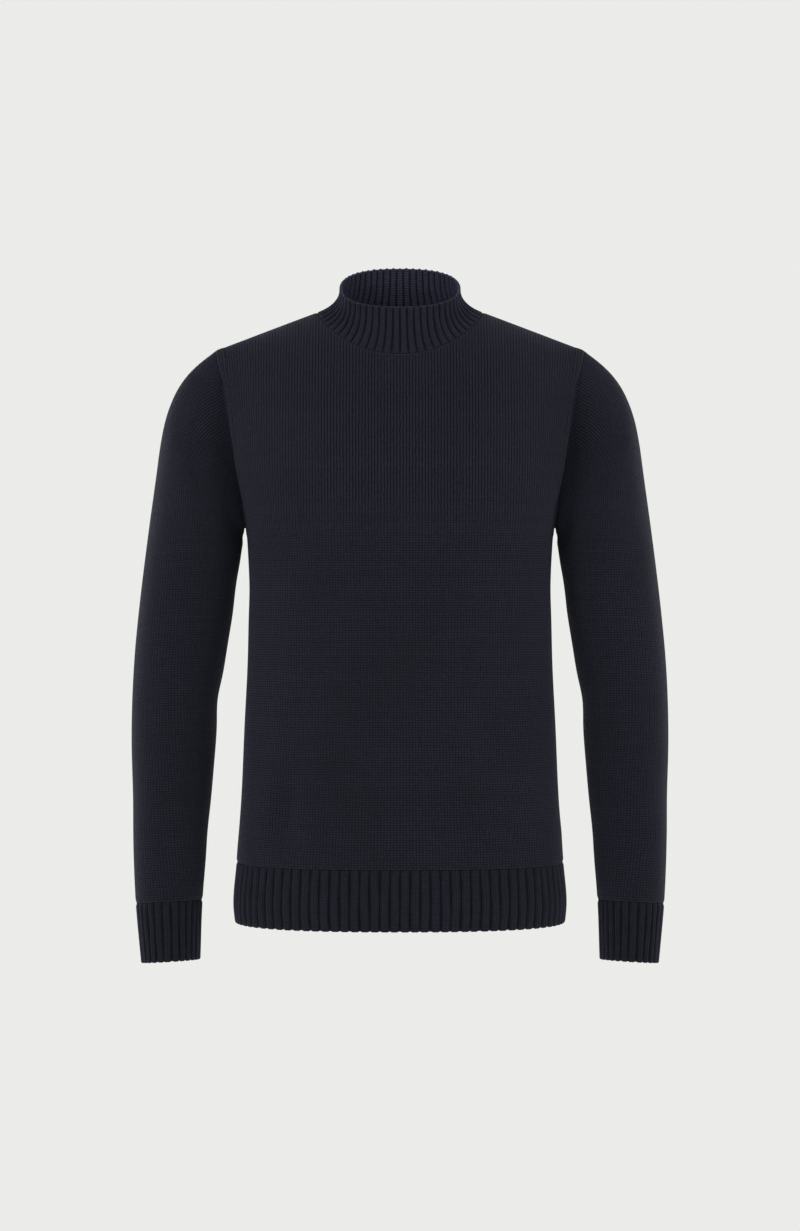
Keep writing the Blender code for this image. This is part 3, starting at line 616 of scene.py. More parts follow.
def knitted(name, purl=0.0, bump=0.9, depth=0.96, dye=DYE, ribbed=False):
    """A knitted wool material. bump is the stitches' relief in millimetres, depth how dark their gaps' painted
    shade is.
    """
    material = bpy.data.materials.new(name)
    material.use_nodes = True
    tree = material.node_tree
    place = add_node(tree, "TexCoord").outputs["Object"]
    vector = add_node(tree, "UVMap", uv_map="stitches").outputs["UV"]
    # For rib this mask is the painted shade of its grooves; for plain knitting it is the distance from an
    # armhole.
    edge = add_node(tree, "Attribute", attribute_name="groove" if ribbed else "seam_mm").outputs["Fac"]
    slack = 1.0
    if not ribbed:
        height_of = add_node(tree, "SeparateXYZ", {"Vector": place}).outputs["Z"]
        slack = between(tree, height_of, *SLACK_BELOW)
        off = calc(tree, "DIVIDE", edge, WALE)
        on_band = calc(tree, "LESS_THAN", off, float(BAND_WALES))
        wale, course, _ = add_node(tree, "SeparateXYZ", {"Vector": vector}).outputs
        shift = calc(tree, "MULTIPLY", calc(tree, "SUBTRACT", off, wale), on_band)
        banded = {"X": calc(tree, "ADD", wale, shift), "Y": course}
        vector = add_node(tree, "CombineXYZ", banded).outputs["Vector"]
    knit = {"Stitches": vector, "Wander": STITCH_WANDER, "Purl": purl, "Slack": slack}
    stitches = add_node(tree, "Group", knit, node_tree=STITCHES).outputs
    # Rib grooves are darkened with painted shade through the gap mask.
    gap = calc(tree, "MAXIMUM", stitches["Gap"], edge) if ribbed else stitches["Gap"]
    # Painted light, from the marks that each piece carries.
    painted_light = add_node(tree, "Attribute", attribute_name="painted_light").outputs["Fac"]
    yarn = {"Dye": (*dye, 1), "Place": place, "Shade": stitches["Shade"]}
    yarn |= {"Gap": gap, "Depth": depth, "Painted light": painted_light}
    wool = add_node(tree, "Group", yarn, node_tree=WOOL).outputs
    height = calc(tree, "MULTIPLY_ADD", wool["Fuzz"], FUZZ_HIGH, stitches["Height"])
    relief = add_node(tree, "Bump", {"Distance": bump * MM, "Strength": 1.0, "Height": height})
    feed(tree, tree.nodes["Principled BSDF"], {
        "Base Color": wool["Colour"],
        "Roughness": between(tree, wool["Fuzz"], 0.3, 0.7, *ROUGHNESS),
        "Normal": relief.outputs["Normal"],
        "Specular IOR Level": 0.14,
        "Sheen Weight": 0.12,
        "Sheen Roughness": 0.45,
        "Sheen Tint": SHEEN_TINT,
    })
    material.diffuse_color = (*dye, 1)
    return material


PLAIN = [knitted("plain_knit"), knitted("plain_knit_inside", purl=1.0)]
# Painted shade: the bands are the same yarn, drawn darker.
RIB_SHADED_DYE = tuple(0.84 * channel for channel in DYE)  # the picture's hem and cuffs are a little darker
# The same yarn, made lighter: the picture's collar is as light inside as outside, and too little of these
# lamps' light gets into the neck.
RIB_INSIDE_DYE = tuple(1.9 * channel for channel in DYE)
RIB = [
    knitted("rib_knit", bump=0.4, depth=0.72, dye=RIB_SHADED_DYE, ribbed=True),
    knitted("rib_knit_inside", bump=0.4, depth=0.85, dye=RIB_INSIDE_DYE, ribbed=True),
]
print("materials:", [material.name for material in PLAIN + RIB])

# %% [markdown]
# ## Front and back
#
# Both are knitted upwards from the hem band, straight to the underarm, then narrowed along the armholes and
# cast off at the shoulders, with the neck scooped out. The columns of the grid are the wales, so they stay
# upright and simply end at an armhole, while the rows are drawn together under the arm. The cloth dips a
# little at every seam, because sewing pulls it in, and the narrowed band beside an armhole stands slightly
# proud.

# %% Front and back panels
NECK_COLUMNS, SHOULDER_COLUMNS, SIDE_COLUMNS, LOW_ROWS = 42, 44, 11, 112
SEAM_DIP, RIB_SEAM_SHARE = 0.7, 0.3  # and the share of it beside a rib band
SEAM_ROLL, RIB_SEAM_ROLL, RIB_SEAM_WIDE = 1.3, 0.5, 1.5
BAND_RISE, BAND_WIDE = 0.5, BAND_WALES * WALE


def panel_columns():
    """Where the columns lie across a panel, from one side seam to the other."""
    neck = NECK_HALF * np.sin(np.linspace(0, math.pi / 2, NECK_COLUMNS + 1))
    shoulder = np.linspace(NECK_HALF, PANEL_EDGE, SHOULDER_COLUMNS + 1)[1:]
    half = np.concatenate((neck, shoulder, np.linspace(PANEL_EDGE, PANEL_HALF, SIDE_COLUMNS + 1)[1:]))
    return np.concatenate((-half[:0:-1], half))


def nearest(points, line):
    """The distance from each point of a grid to the nearest point of a line."""
    return np.array([np.linalg.norm(row[:, None] - line[None], axis=-1).min(axis=1) for row in points])


def knit_panel(name, side):
    """The front or the back."""
    across, level = ARMHOLES[side]
    low_levels = level_of(np.linspace(HEM_TOP_Z, UNDERARM_Z, LOW_ROWS + 1)[:-1])
    levels = np.concatenate((low_levels, level[::-1]))
    edges = np.concatenate((np.full(LOW_ROWS, PANEL_HALF), across[::-1]))
    columns = panel_columns()
    kept = np.clip(columns[None], -edges[:, None], edges[:, None])
    points, out = folded_body(kept, levels, side)
    same = np.empty(kept.shape, int)
    for row, places in enumerate(kept):
        _, first, back = np.unique(places, return_index=True, return_inverse=True)
        same[row] = first[back] + row * len(columns)
    courses = runs(points, 0) / COURSE
    stitches = np.stack((kept / WALE, courses), axis=-1)
    to_hem = runs(points, 0)
    to_armhole = np.minimum(*(nearest(points, points[LOW_ROWS:, column]) for column in (0, -1)))
    to_rim = np.minimum(to_armhole, nearest(points, np.concatenate((points[:, 0], points[:, -1], points[-1]))))
    band = smooth(0.6, 2.2, to_armhole) * smooth(BAND_WIDE, BAND_WIDE - 1.6, to_armhole)
    drawn = sewn_in(points)
    dip = np.maximum(hollow(to_rim, 2.0), RIB_SEAM_SHARE * hollow(to_hem, RIB_SEAM_WIDE))
    lift = band * BAND_RISE - drawn * SEAM_DIP * dip
    roll = (1 - drawn * (1 - rim_roll(to_rim, SEAM_ROLL))) * rim_roll(to_hem, RIB_SEAM_ROLL)
    outside, inside = plain_faces(points, out, roll, lift, np.minimum(lift, 0))
    far_side = band * smooth(BAND_WIDE - 3.0, BAND_WIDE - 1.8, to_armhole)
    # Painted light: paler along the armhole seam, and along the narrowed band's far edge.
    marks = {"seam_mm": to_armhole, "painted_light": 2.0 * smooth(2.4, 0.8, to_armhole) + 0.6 * far_side}
    return cloth(name, outside, inside, stitches, PLAIN, same=same, marks=marks)


front = knit_panel("front", FRONT)
back = knit_panel("back", BACK)

# %% [markdown]
# ## Rib knitting
#
# The bands are rib: two wales forward, two wales back, all the way round. The forward wales bulge, the
# others sink behind them, and inside it is the other way about. Ribs are deep enough to show in the outline
# of an edge, so they are real relief on both faces, with a dozen points to each rib, and a bump only adds
# the stitches. No hand-held band is quite even, so each rib wanders a little from its place.

# %% Rib relief
RIB_POINTS = 12  # points of the grid across one rib
RIB_RELIEF, RIB_INSIDE_RELIEF = 1.9, 1.4
RIB_BACK = 3.3  # from the crests to the inside, as the solids have it
SEAM_RELIEF, EDGE_RELIEF = 0.35, 0.5  # the share of the relief that is left at a band's two rims
EDGE_TUCK = 0.9  # how far the grooves draw a free edge in
WALES_A_RIB = 4
RIB_BOWS, BOW_HALF, BOW_SHARE = (0.36, 0.64), 0.21, 0.45  # the two forward wales, in shares of a rib


def rib_height(phase):
    """The height of the cloth across a rib, from 0 in the groove to 1 on its two forward wales."""
    phase = phase % 1
    swell = smooth(0.05, 0.2, phase) * smooth(0.95, 0.8, phase)
    bows = [np.sqrt(np.maximum(0, 1 - ((phase - middle) / BOW_HALF) ** 2)) for middle in RIB_BOWS]
    return (1 - BOW_SHARE) * swell + BOW_SHARE * np.maximum(*bows)


def wander(ribs, height):
    """How far each rib strays sideways at a height, as a share of its width."""
    return 0.035 * np.sin(height / 8.5 + 2.4 * ribs) + 0.03 * np.sin(height / 19.0 + 1.3 * ribs * ribs)


def rib_band(name, face, out, ribs, down, around, rim_shine=1.0, painted_lift=0.0):
    """A rib band from its outer face. down holds the distance of each row from the band's seam."""
    phase = rib_shares(ribs, around) * ribs
    high = rib_height(phase)
    to_seam = np.broadcast_to(down[:, None], face.shape[:2])
    to_edge = down[-1] - to_seam
    at_seam = SEAM_RELIEF + (1 - SEAM_RELIEF) * smooth(0.0, 4.0, to_seam)
    full = (at_seam * (EDGE_RELIEF + (1 - EDGE_RELIEF) * smooth(0.0, 6.0, to_edge)))[..., None]
    roll = (rim_roll(to_edge, 1.6) * rim_roll(to_seam, 1.0))[..., None]
    outer = (high - 1)[None, :, None] * RIB_RELIEF * full
    inner = -RIB_BACK + (1 - rib_height(phase + 0.5))[None, :, None] * RIB_INSIDE_RELIEF * full
    middle, half = (outer + inner) / 2, (outer - inner) / 2 * roll
    tuck = np.array((0, 0, 1.0)) * ((1 - high)[None] * smooth(7.0, 0.0, to_edge) * EDGE_TUCK)[..., None]
    along = runs(face, 0)
    columns = phase * WALES_A_RIB
    if around:
        columns, along = np.append(columns, ribs * WALES_A_RIB), np.hstack((along, along[:, :1]))
    stitches = np.stack((np.broadcast_to(columns, along.shape), along / COURSE), axis=-1)
    off_edge = smooth(0.2, 2.4, to_edge)
    # Painted shade in the grooves, on both faces, fading out towards the free edge.
    groove = np.stack([smooth(0.72, 0.2, rib_height(phase + turned)) * off_edge for turned in (0, 0.5)])
    # Painted light: a lift over the whole band, and a painted highlight at its free rim, strongest on the
    # crests.
    painted_light = painted_lift + rim_shine * smooth(2.0, 0.4, to_edge) * (0.4 + 0.6 * high[None])
    outside, inside = face + out * (middle + half) + tuck, face + out * (middle - half) + tuck
    marks = {"groove": groove, "painted_light": painted_light}
    return cloth(name, outside, inside, stitches, RIB, around=around, marks=marks)


def rib_shares(ribs, around):
    """The places of a band's grid columns along it, from 0 to 1."""
    shares = np.arange(ribs * RIB_POINTS + 1) / (ribs * RIB_POINTS)
    return shares[:-1] if around else shares


def strayed(share, ribs, height):
    """The same places at a height of the band, where each rib has strayed a little."""
    return share + wander(np.floor(share * ribs), height) / ribs


EDGE_BAND, EDGE_ROWS = 3.0, (1.9, 1.2, 0.65, 0.25, 0.0)  # distances from the free edge


def band_rows(length, rows=20):
    """Distances down a band, closer together at its free edge."""
    return np.concatenate((np.linspace(0, length - EDGE_BAND, rows), length - np.array(EDGE_ROWS)))


# %% [markdown]
# ## Hem
#
# The hem band is knitted first and drawn in, so the body blouses a little above it. It stands on the same
# level outlines as the body and could be part of it. It is a piece of its own, as it is on the solid, one
# for the front and one for the back, and its ribs meet at the side seams.

# %% Hem bands
HEM_RIBS = 46
CORNER_LIFT = 5.0  # how far the free edge turns up at the side seams


def knit_hem(name, side):
    """The hem band below the front or the back."""
    down = band_rows(HEM_TOP_Z - HEM_Z)
    share = rib_shares(HEM_RIBS, False)
    ends = np.minimum(share, 1 - share) * HEM_RIBS
    stray = np.array([strayed(share, HEM_RIBS, distance) - share for distance in down]) * np.clip(ends, 0, 1)
    across = (2 * (share + stray) - 1) * PANEL_HALF
    face, out = folded_body(across, level_of(HEM_TOP_Z - down), side)
    face[..., 2] += CORNER_LIFT * np.maximum(0, 1 - ends)[None] ** 2 * smooth(14, 0, down[-1] - down)[:, None]
    out[..., 2] = 0
    out = unit(out)
    return rib_band(name, face, out, HEM_RIBS, down, False)


front_hem = knit_hem("front_hem", FRONT)
back_hem = knit_hem("back_hem", BACK)

# %% [markdown]
# ## Sleeves
#
# A sleeve is sewn into the egg of the armhole and hangs from it as a tube. Its rings turn from the
# armhole's plane to level rings at the wrist. Each ring is set by where it meets the sleeve's outer and
# inner outline, and by its depth front to back. Lofting between two curves would do for the ends, but not
# for the elbow. The grid starts at the underarm seam, so the stitches meet there at an angle, as they do on
# a tapered sleeve.

# %% Sleeve sizes
SLEEVE_OUTER = {
    "height": (-39.5, -52, -62, -77, -95, -113, -140, -176,
               -247, -327, -381, -435, -488, -542, -650, -722),
    "x": (207, 223.5, 234.5, 246.4, 255.6, 262, 267.7, 272.7,
          282.7, 292.7, 298, 300.7, 301, 299.5, 294.6, 287.5),
}
SLEEVE_INNER = {
    "height": (-238, -243, -256, -273, -327, -381, -435, -488, -542, -596, -650, -718),
    "x": (169, 173.5, 175.5, 178, 186.5, 195.5, 202.6, 207.4, 211.6, 215.8, 219.9, 222),
}
SLEEVE_RINGS = {
    "ring": (0, 2, 4, 7, 10, 13, 16, 19, 20),
    "outer_z": (-39.5, -62, -102, -185, -290, -400, -510, -622, -656),
    "inner_z": (-238, -241, -248, -270, -335, -420, -515, -619, -652),
    "half_depth": (52, 60, 64, 65, 61, 57, 52, 45, 42),
    "middle_y": (SIDE_Y, 3, 4, 5, 8, 9, 4, -11, -16),
    "pitch": (0, 0, 0, 0, 0, 1, 3, 5, 5),
}
SLEEVE_SQUARE, LAST_RING, SLEEVE_ROWS = 2.15, 20, 150
SLEEVE_CLEAR, OVER_HOLE, BESIDE_Z = 3.5, 0.8, -90.0  # how the tube keeps off the body's side
LEAVES_ARMHOLE = 6  # the ring at which it is all sleeve and no longer armhole
SMOOTHINGS, KEPT_SHARE = 12, 0.4
NO_BAND = 100.0  # added to a sleeve's distances, because no narrowed band lies along its seam
SLEEVE_FOLDS = (  # hand, around, ring, slant, length, width, rise; hand 0 is both sleeves
    (0, 0.3, 5.0, 8, 0.15, 0.9, -1.8),
    (0, 0.42, 8.0, 10, 0.12, 0.8, -1.6),
    (0, 0.62, 7.2, -9, 0.13, 0.9, -1.6),
    (0, 0.36, 12.2, 6, 0.14, 0.7, -1.8),
    (0, 0.52, 13.4, -5, 0.16, 0.8, -2),
    (0, 0.68, 14.4, 7, 0.13, 0.7, -1.6),
    (0, 0.45, 17.4, 5, 0.12, 0.8, -1.2),
    (0, 0.12, 16.0, -6, 0.14, 1.0, -1.2),
    (1, 0.22, 9.6, 9, 0.1, 0.8, -1.1),
    (1, 0.32, 15.6, -7, 0.09, 0.7, -1.0),
    (1, 0.2, 18.4, 5, 0.12, 0.5, 0.8),
    (1, 0.8, 10.5, 6, 0.12, 0.8, -1.2),
    (-1, 0.24, 11.0, -8, 0.1, 0.8, -1.1),
    (-1, 0.16, 14.0, 7, 0.09, 0.7, -0.9),
    (-1, 0.3, 18.1, -5, 0.11, 0.5, 0.8),
    (-1, 0.78, 12.0, 6, 0.12, 0.8, -1.2),
    (0, 0.42, 5.0, 12, 0.055, 2.4, -3.2),
    (0, 0.58, 5.0, -12, 0.055, 2.4, -3.2),
)


# %% Sleeve surface
def sleeve_ring(outer_z, inner_z, middle_y, pitch):
    """A ring's middle, its two directions and its half width, from the heights where it meets both outlines."""
    places = ((SLEEVE_OUTER, outer_z), (SLEEVE_INNER, inner_z))
    outer, inner = (np.array((read(line, "height", "x", z), middle_y, z)) for line, z in places)
    half = np.linalg.norm(outer - inner) / 2
    deep = np.array((0, 1, -math.tan(math.radians(pitch))))
    return (outer + inner) / 2, (outer - inner) / (2 * half), deep, half


def ring_at(ring):
    """The same for a ring of the table above, whole or in between."""
    names = ("outer_z", "inner_z", "middle_y", "pitch")
    return sleeve_ring(*(read(SLEEVE_RINGS, "ring", name, ring) for name in names))


def clear_of_body(points):
    """Moves points out where they would lie in the body's side below the armhole."""
    x, y, z = points.T
    front_side = y < SIDE_Y
    depth = np.where(front_side, read(BODY, "height", "front", z), read(BODY, "height", "back", z))
    share = abs(y - SIDE_Y) / depth
    hole = np.where(front_side, ARMHOLE_DEPTH[FRONT], ARMHOLE_DEPTH[BACK])
    drop = np.maximum(0, ARMHOLE_MID_Z - z) / (ARMHOLE_MID_Z - UNDERARM_Z)
    beside = (z < BESIDE_Z) & (share < 1) & ((abs(y - SIDE_Y) / hole) ** 2 + drop ** 2 > OVER_HOLE)
    square = read(BODY, "height", "square", z)
    side_x = read(BODY, "height", "half_width", z) * np.maximum(0, 1 - share ** square) ** (1 / square)
    return np.stack((np.where(beside, np.maximum(x, side_x + SLEEVE_CLEAR), x), y, z), axis=-1)


def grid_normals(points):
    """The normals of a grid whose rows close on themselves, to one side all over."""
    ring = np.hstack((points[:, -1:], points, points[:, :1]))
    return unit(np.cross(np.gradient(ring, axis=1)[:, 1:-1], np.gradient(points, axis=0)))


def armhole_edge(hand):
    """The body's edge at an armhole, down the front and up the back, and the directions out of it."""
    both = []
    for side in (FRONT, BACK):
        across, level = ARMHOLES[side]
        points, out = folded_body(hand * across[:, None], level, side)
        both.append((points[:, 0], out[:, 0]))
    (front_points, front_out), (back_points, back_out) = both
    points = np.concatenate((front_points, back_points[-2:0:-1]))
    points[[0, ARMHOLE_ROWS], 1] = SIDE_Y
    return points, np.concatenate((front_out, back_out[-2:0:-1]))


def sleeve_folds(hand, rows, columns):
    """How far the soft folds lift each point of a sleeve. They fade out at both seams."""
    ring = np.linspace(0, LAST_RING, rows)[:, None]
    around = np.arange(columns)[None] / columns
    rise = np.zeros((rows, columns))
    for on, at, row, slant, length, width, height in SLEEVE_FOLDS:
        beside = (around - at + 0.5) % 1 - 0.5
        one = height * np.exp(-(beside / length) ** 2 - ((ring - row - slant * beside) / width) ** 2)
        rise += one * (on in (0, hand))
    return rise * np.clip(ring / 2, 0, 1) * np.clip((LAST_RING - ring) / 2, 0, 1)


def sleeve_surface(hand):
    """The outside of a sleeve as rings of points, from the armhole down, and the directions out."""
    flip = np.array((hand, 1, 1))
    edge, edge_out = (values * flip for values in armhole_edge(hand))
    turns = np.arange(len(edge)) * 2 * math.pi / len(edge)
    rings = np.linspace(0, LAST_RING, SLEEVE_ROWS)
    depths = read(SLEEVE_RINGS, "ring", "half_depth", rings)
    middle, across, _, half = ring_at(0)
    off = edge - middle
    plane = np.cross(across, (0, 1, 0))
    edge_shape = np.stack((off @ across / half, off[:, 1] / depths[0], off @ plane), axis=1)
    y, x = squared_oval(turns, 1, 1, SLEEVE_SQUARE)
    surface = [edge]
    for ring, depth in zip(rings[1:], depths[1:]):
        middle, across, deep, half = ring_at(ring)
        plane = np.cross(across, (0, 1, 0))
        blend = smooth(0, LEAVES_ARMHOLE, ring)
        shape = (1 - blend) * edge_shape + blend * np.stack((x, -y, 0 * x), axis=1)
        axes = np.stack((across * half, deep * depth, plane))
        surface.append(clear_of_body(middle + shape @ axes))
    surface = np.array(surface)
    spread = (1 - KEPT_SHARE) / 2
    for _ in range(SMOOTHINGS):
        beside = (np.roll(surface, 1, axis=1) + np.roll(surface, -1, axis=1)) / 2
        above = (surface[:-2] + surface[2:]) / 2
        surface[1:-1] = KEPT_SHARE * surface[1:-1] + spread * beside[1:-1] + spread * above
    out = grid_normals(surface)
    out *= np.sign(np.sum(out * (surface - surface.mean(axis=1, keepdims=True))))
    surface = surface + out * sleeve_folds(hand, SLEEVE_ROWS, len(edge))[..., None]
    out[0] = edge_out
    return surface * flip, out * flip


# %% Sleeves
def knit_sleeve(name, hand):
    """A sleeve, with its grid turned so that each row starts at the underarm."""
    points, out = (np.roll(values, -ARMHOLE_ROWS, axis=1) for values in sleeve_surface(hand))
    closed = np.hstack((points, points[:, :1]))
    wales = runs(closed, 1)
    wales = (wales - wales[:, ARMHOLE_ROWS:ARMHOLE_ROWS + 1]) / WALE
    down = runs(closed, 0)
    stitches = np.stack((wales, (down[-1:] - down) / COURSE), axis=-1)
    to_armhole, to_cuff = down[:, :-1], (down[-1:] - down)[:, :-1]
    to_seam = np.minimum(wales[:, :-1] - wales[:, :1], wales[:, -1:] - wales[:, :-1]) * WALE
    drawn = sewn_in(points)
    roll = (1 - drawn * (1 - rim_roll(to_armhole, SEAM_ROLL))) * rim_roll(to_cuff, RIB_SEAM_ROLL)
    dip = hollow(to_armhole, 2.2) + 0.7 * hollow(to_seam, 1.8)
    dip += RIB_SEAM_SHARE * hollow(to_cuff, RIB_SEAM_WIDE)
    outside, inside = plain_faces(points, out, roll, -SEAM_DIP * drawn * dip, 0.0)
    marks = {"seam_mm": to_armhole + NO_BAND, "painted_light": 0 * to_armhole}
    return cloth(name, outside, inside, stitches, PLAIN, around=True, marks=marks)


left_sleeve = knit_sleeve("left_sleeve", 1)
right_sleeve = knit_sleeve("right_sleeve", -1)

# %% [markdown]
# ## Cuffs
#
# A cuff is the hem band again, on the sleeve's last ring and a little below it. The rings narrow slightly
# towards the hand, and lean forward, as an arm at rest does.

# %% Cuffs
CUFF_RINGS = {"drop": (0, 3, 60, 65.5), "half_depth": (42, 41, 38, 37), "middle_y": (-16, -16.4, -21.5, -22)}
CUFF_PITCH, CUFF_LENGTH, CUFF_RIBS = 5.0, 65.5, 26
CUFFS_DIFFER = 40.0  # moves one cuff's uneven ribs along, so that the two aren't alike


def knit_cuff(name, hand):
    """The rib cuff below a sleeve."""
    down, share = band_rows(CUFF_LENGTH), rib_shares(CUFF_RIBS, True)
    face, out = [], []
    for drop in down:
        turns = strayed(share, CUFF_RIBS, drop + CUFFS_DIFFER * hand) * 2 * math.pi
        ends = SLEEVE_RINGS["outer_z"][-1] - drop, SLEEVE_RINGS["inner_z"][-1] - drop
        middle_y = read(CUFF_RINGS, "drop", "middle_y", drop)
        middle, across, deep, half = sleeve_ring(*ends, middle_y, CUFF_PITCH)
        y, x = squared_oval(turns, read(CUFF_RINGS, "drop", "half_depth", drop), half, SLEEVE_SQUARE)
        ring = middle + np.outer(x, across) - np.outer(y, deep)
        tangent = np.roll(ring, -1, axis=0) - np.roll(ring, 1, axis=0)
        face.append(ring)
        out.append(unit(np.cross(np.cross(across, deep), tangent)))
    flip = np.array((hand, 1, 1))
    return rib_band(name, np.array(face) * flip, np.array(out) * flip, CUFF_RIBS, down, True)


left_cuff = knit_cuff("left_cuff", 1)
right_cuff = knit_cuff("right_cuff", -1)

# %% [markdown]
# ## Collar
#
# The collar's stitches are picked up round the neckline, so it turns up out of the shoulders, stands, and
# is cast off loosely at its rim, which dips to the front. Extruding the neckline upwards would give a stiff
# tube. Each wale here starts at the neckline and bends over to the rim on its own curve. The back of the
# collar shows its inside over the front rim, so both faces have their ribs.

# %% Collar
COLLAR_RIBS, COLLAR_ROWS = 56, 30
COLLAR_HALF, COLLAR_DEPTH, COLLAR_Y = 68.0, 56.0, 4.0  # its upper edge
COLLAR_TOP_Z, COLLAR_TILT, COLLAR_SQUARE, COLLAR_FLARE = 32.5, 26.5, 2.4, 2.8
# Both are painted light: the collar is drawn paler all over, and its rim palest.
COLLAR_RIM_SHINE, COLLAR_PAINTED_LIFT = 3.0, 0.95  # the picture's collar is paler than its hem, and its rim palest
QUARTER_POINTS, RIM_POINTS = 61, 360


def neckline():
    """The body's edge at the collar, from the front's middle round by +X: points and directions out."""
    columns = NECK_HALF * np.sin(np.linspace(0, math.pi / 2, QUARTER_POINTS))
    runs_of = ((columns[:-1], FRONT), (columns[:0:-1], BACK), (-columns[:-1], BACK), (-columns[:0:-1], FRONT))
    cloths = [folded_body(part[None], np.array([2.0]), side) for part, side in runs_of]
    points, out = (np.concatenate([item[i][0] for item in cloths]) for i in (0, 1))
    points[abs(abs(points[:, 0]) - NECK_HALF) < 0.1, 1] = SIDE_Y
    return points, out


def along_loop(loop, values, shares):
    """Values of a closed loop's points, read at shares of its length."""
    closed, values = np.vstack((loop, loop[:1])), np.vstack((values, values[:1]))
    run = np.append(0, np.cumsum(np.linalg.norm(np.diff(closed, axis=0), axis=1)))
    return np.stack([np.interp(shares * run[-1], run, values[:, i]) for i in range(3)], axis=1)


def knit_collar(name):
    """The stand collar."""
    share = rib_shares(COLLAR_RIBS, True)
    points, out = neckline()
    base, base_out = along_loop(points, points, share), unit(along_loop(points, out, share))
    turns = np.linspace(0, 2 * math.pi, RIM_POINTS, endpoint=False)
    x, y = squared_oval(turns, COLLAR_HALF, COLLAR_DEPTH, COLLAR_SQUARE)
    rim = np.stack((x, COLLAR_Y - y, COLLAR_TOP_Z - y * math.tan(math.radians(COLLAR_TILT))), axis=1)
    length = np.linalg.norm(along_loop(rim, rim, share) - base, axis=1).mean()
    up = band_rows(length, COLLAR_ROWS)
    face = []
    for distance in up:
        level = distance / length
        top = along_loop(rim, rim, strayed(share, COLLAR_RIBS, distance) % 1)
        inward = 1 - (1 - level) ** COLLAR_FLARE
        face.append(base + (top - base) * (inward, inward, level))
    face = np.array(face)
    normals = grid_normals(face)
    normals *= np.sign(np.sum(normals * (face - face.mean(axis=1, keepdims=True)) * (1, 1, 0)))
    blend = smooth(0, 3, up)[:, None, None]
    normals = unit(base_out[None] * (1 - blend) + normals * blend)
    return rib_band(name, face, normals, COLLAR_RIBS, up, True, COLLAR_RIM_SHINE, COLLAR_PAINTED_LIFT)


collar = knit_collar("collar")

# %% [markdown]
# ## Fitting the pieces to the CAD model
#
# Every piece rides on the one body and stands for its own solid. Each is a sheet of cloth as well, so its
# cut is stated: the width and length it was knitted to, laid flat, and its flat area where the cut isn't a
# rectangle. A tube is measured all round.

# %% Pieces, nodes and cuts
PIECES = {
    front: ("front_body", "plain_knit", (0.490, 0.612), 0.268),
    back: ("back_body", "plain_knit", (0.490, 0.650), 0.285),
    front_hem: ("front_hem_rib", "rib_knit", (0.490, 0.067), None),
    back_hem: ("back_hem_rib", "rib_knit", (0.490, 0.067), None),
    left_sleeve: ("sleeve_left", "plain_knit", (0.400, 0.640), 0.175),
    right_sleeve: ("sleeve_right", "plain_knit", (0.400, 0.640), 0.175),
    left_cuff: ("cuff_left", "rib_knit", (0.245, 0.066), None),
    right_cuff: ("cuff_right", "rib_knit", (0.245, 0.066), None),
    collar: ("collar_rib", "rib_knit", (0.480, 0.060), None),
}


def flat_area(piece):
    """Half of a closed sheet's surface, in square metres."""
    return sum(polygon.area for polygon in piece.data.polygons) / 2


for piece, (node, finish, flat, area) in PIECES.items():
    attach(piece, "root")
    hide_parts(node)
    stated = area or flat[0] * flat[1]
    print(f"{piece.name}: surface {flat_area(piece):.4f} m2, cut {stated:.4f} m2")

# %% [markdown]
# ## Stage and light
#
# The picture has a plain pale ground with no horizon, so a floor and a wall in one sweep shine evenly
# around the sweater. Dark cloth needs large soft lights to show its form: one from each side, a soft fill
# from the front, a faint one from above and two that light the back. Their shape could be read from a
# reflection in something shiny, but wool has none, so they were set by comparing the brightness of both
# sides of the chest and sleeves.

# %% Sweep
GROUND = (0.832, 0.840, 0.816)
SWEEP_HALF, SWEEP_FRONT, SWEEP_FLOOR, SWEEP_BACK, SWEEP_TOP = 9.0, -9.0, -1.35, 4.0, 7.0
BEND, BEND_TURN, BEND_POINTS = 1.5, 1.57, 25

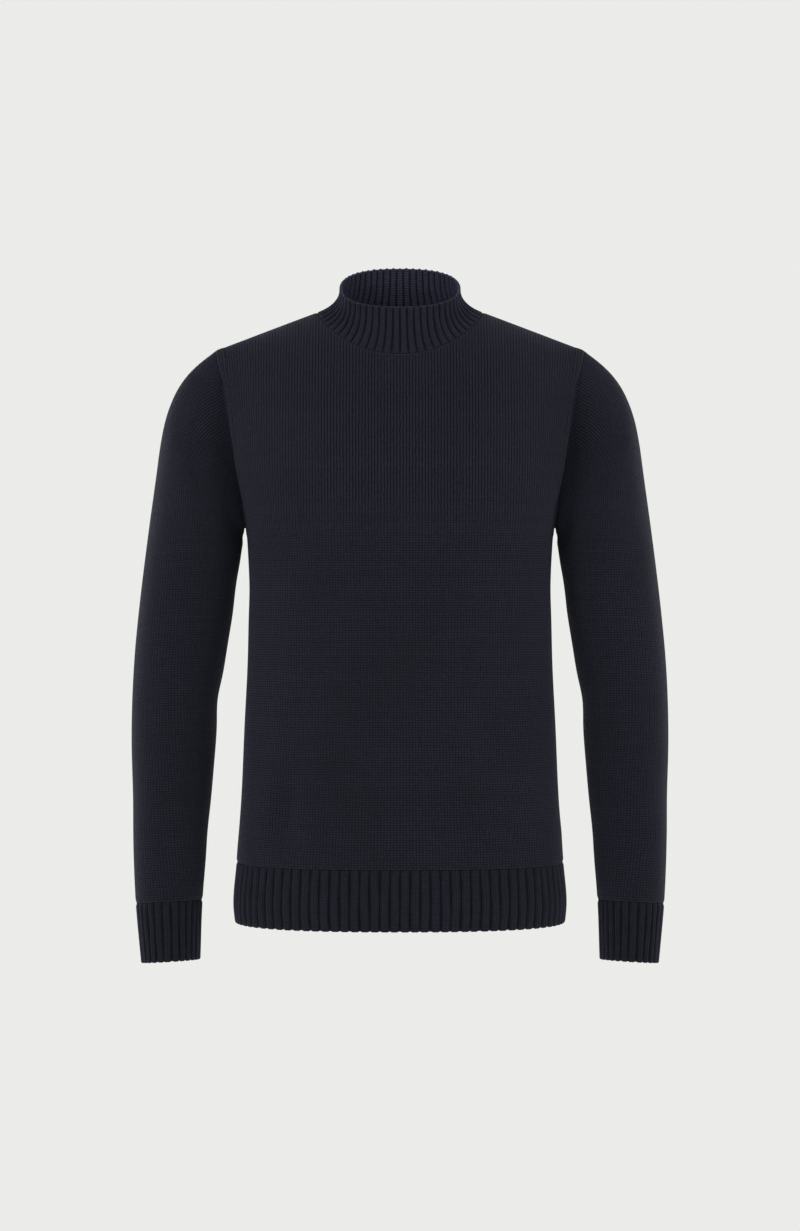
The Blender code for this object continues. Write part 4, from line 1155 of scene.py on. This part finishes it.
sweep_mesh = bpy.data.meshes.new("sweep")
turns = np.linspace(0, BEND_TURN, BEND_POINTS)
bend = [(SWEEP_BACK - BEND + BEND * math.sin(a), SWEEP_FLOOR + BEND - BEND * math.cos(a)) for a in turns]
profile = [(SWEEP_FRONT, SWEEP_FLOOR)] + bend + [(SWEEP_BACK, SWEEP_TOP)]
sweep_points = [(x, y, z) for y, z in profile for x in (-SWEEP_HALF, SWEEP_HALF)]
strips = [(i, i + 1, i + 3, i + 2) for i in range(0, len(sweep_points) - 2, 2)]
sweep_mesh.from_pydata(sweep_points, [], strips)
sweep_mesh.shade_smooth()
sweep = put_in_scene("sweep", sweep_mesh)
pale = bpy.data.materials.new("pale_ground")
pale.use_nodes = True
pale_tree = pale.node_tree
pale_tree.nodes.remove(pale_tree.nodes["Principled BSDF"])
glow = add_node(pale_tree, "Emission", {"Color": (*GROUND, 1)}).outputs["Emission"]
feed(pale_tree, pale_tree.nodes["Material Output"], {"Surface": glow})
sweep_mesh.materials.append(pale)

# %% Lights
LIGHTS = {
    "name": ("key_left", "key_right", "front_fill", "top", "back_left", "back_right"),
    "x": (-2.6, 2.7, -0.3, 0.0, -2.2, 2.2),
    "y": (-1.7, -1.4, -3.6, -0.6, 2.4, 2.4),
    "z": (0.75, 0.55, 1.1, 2.4, 0.4, 0.4),
    "wide": (1.4, 1.3, 2.4, 2.4, 1.2, 1.2),
    "tall": (2.4, 2.4, 1.8, 1.6, 2.4, 2.4),
    "power": (42, 36, 23, 5, 22, 20),
}
for name, x, y, z, wide, tall, power in zip(*LIGHTS.values()):
    lamp = bpy.data.lights.new(name, "AREA")
    lamp.shape = "RECTANGLE"
    lamp.size, lamp.size_y, lamp.energy = wide, tall, power
    light = put_in_scene(name, lamp)
    light.location = (x, y, z)
    aim = Vector((0, 0, CAMERA_HEIGHT * MM)) - light.location
    light.rotation_euler = aim.to_track_quat("-Z", "Y").to_euler()

world = bpy.data.worlds.new("studio")
world.use_nodes = True
background = {"Color": (0.9, 0.92, 0.95, 1), "Strength": 0.2}
feed(world.node_tree, world.node_tree.nodes["Background"], background)
bpy.context.scene.world = world
bpy.context.scene.view_settings.view_transform = "Standard"
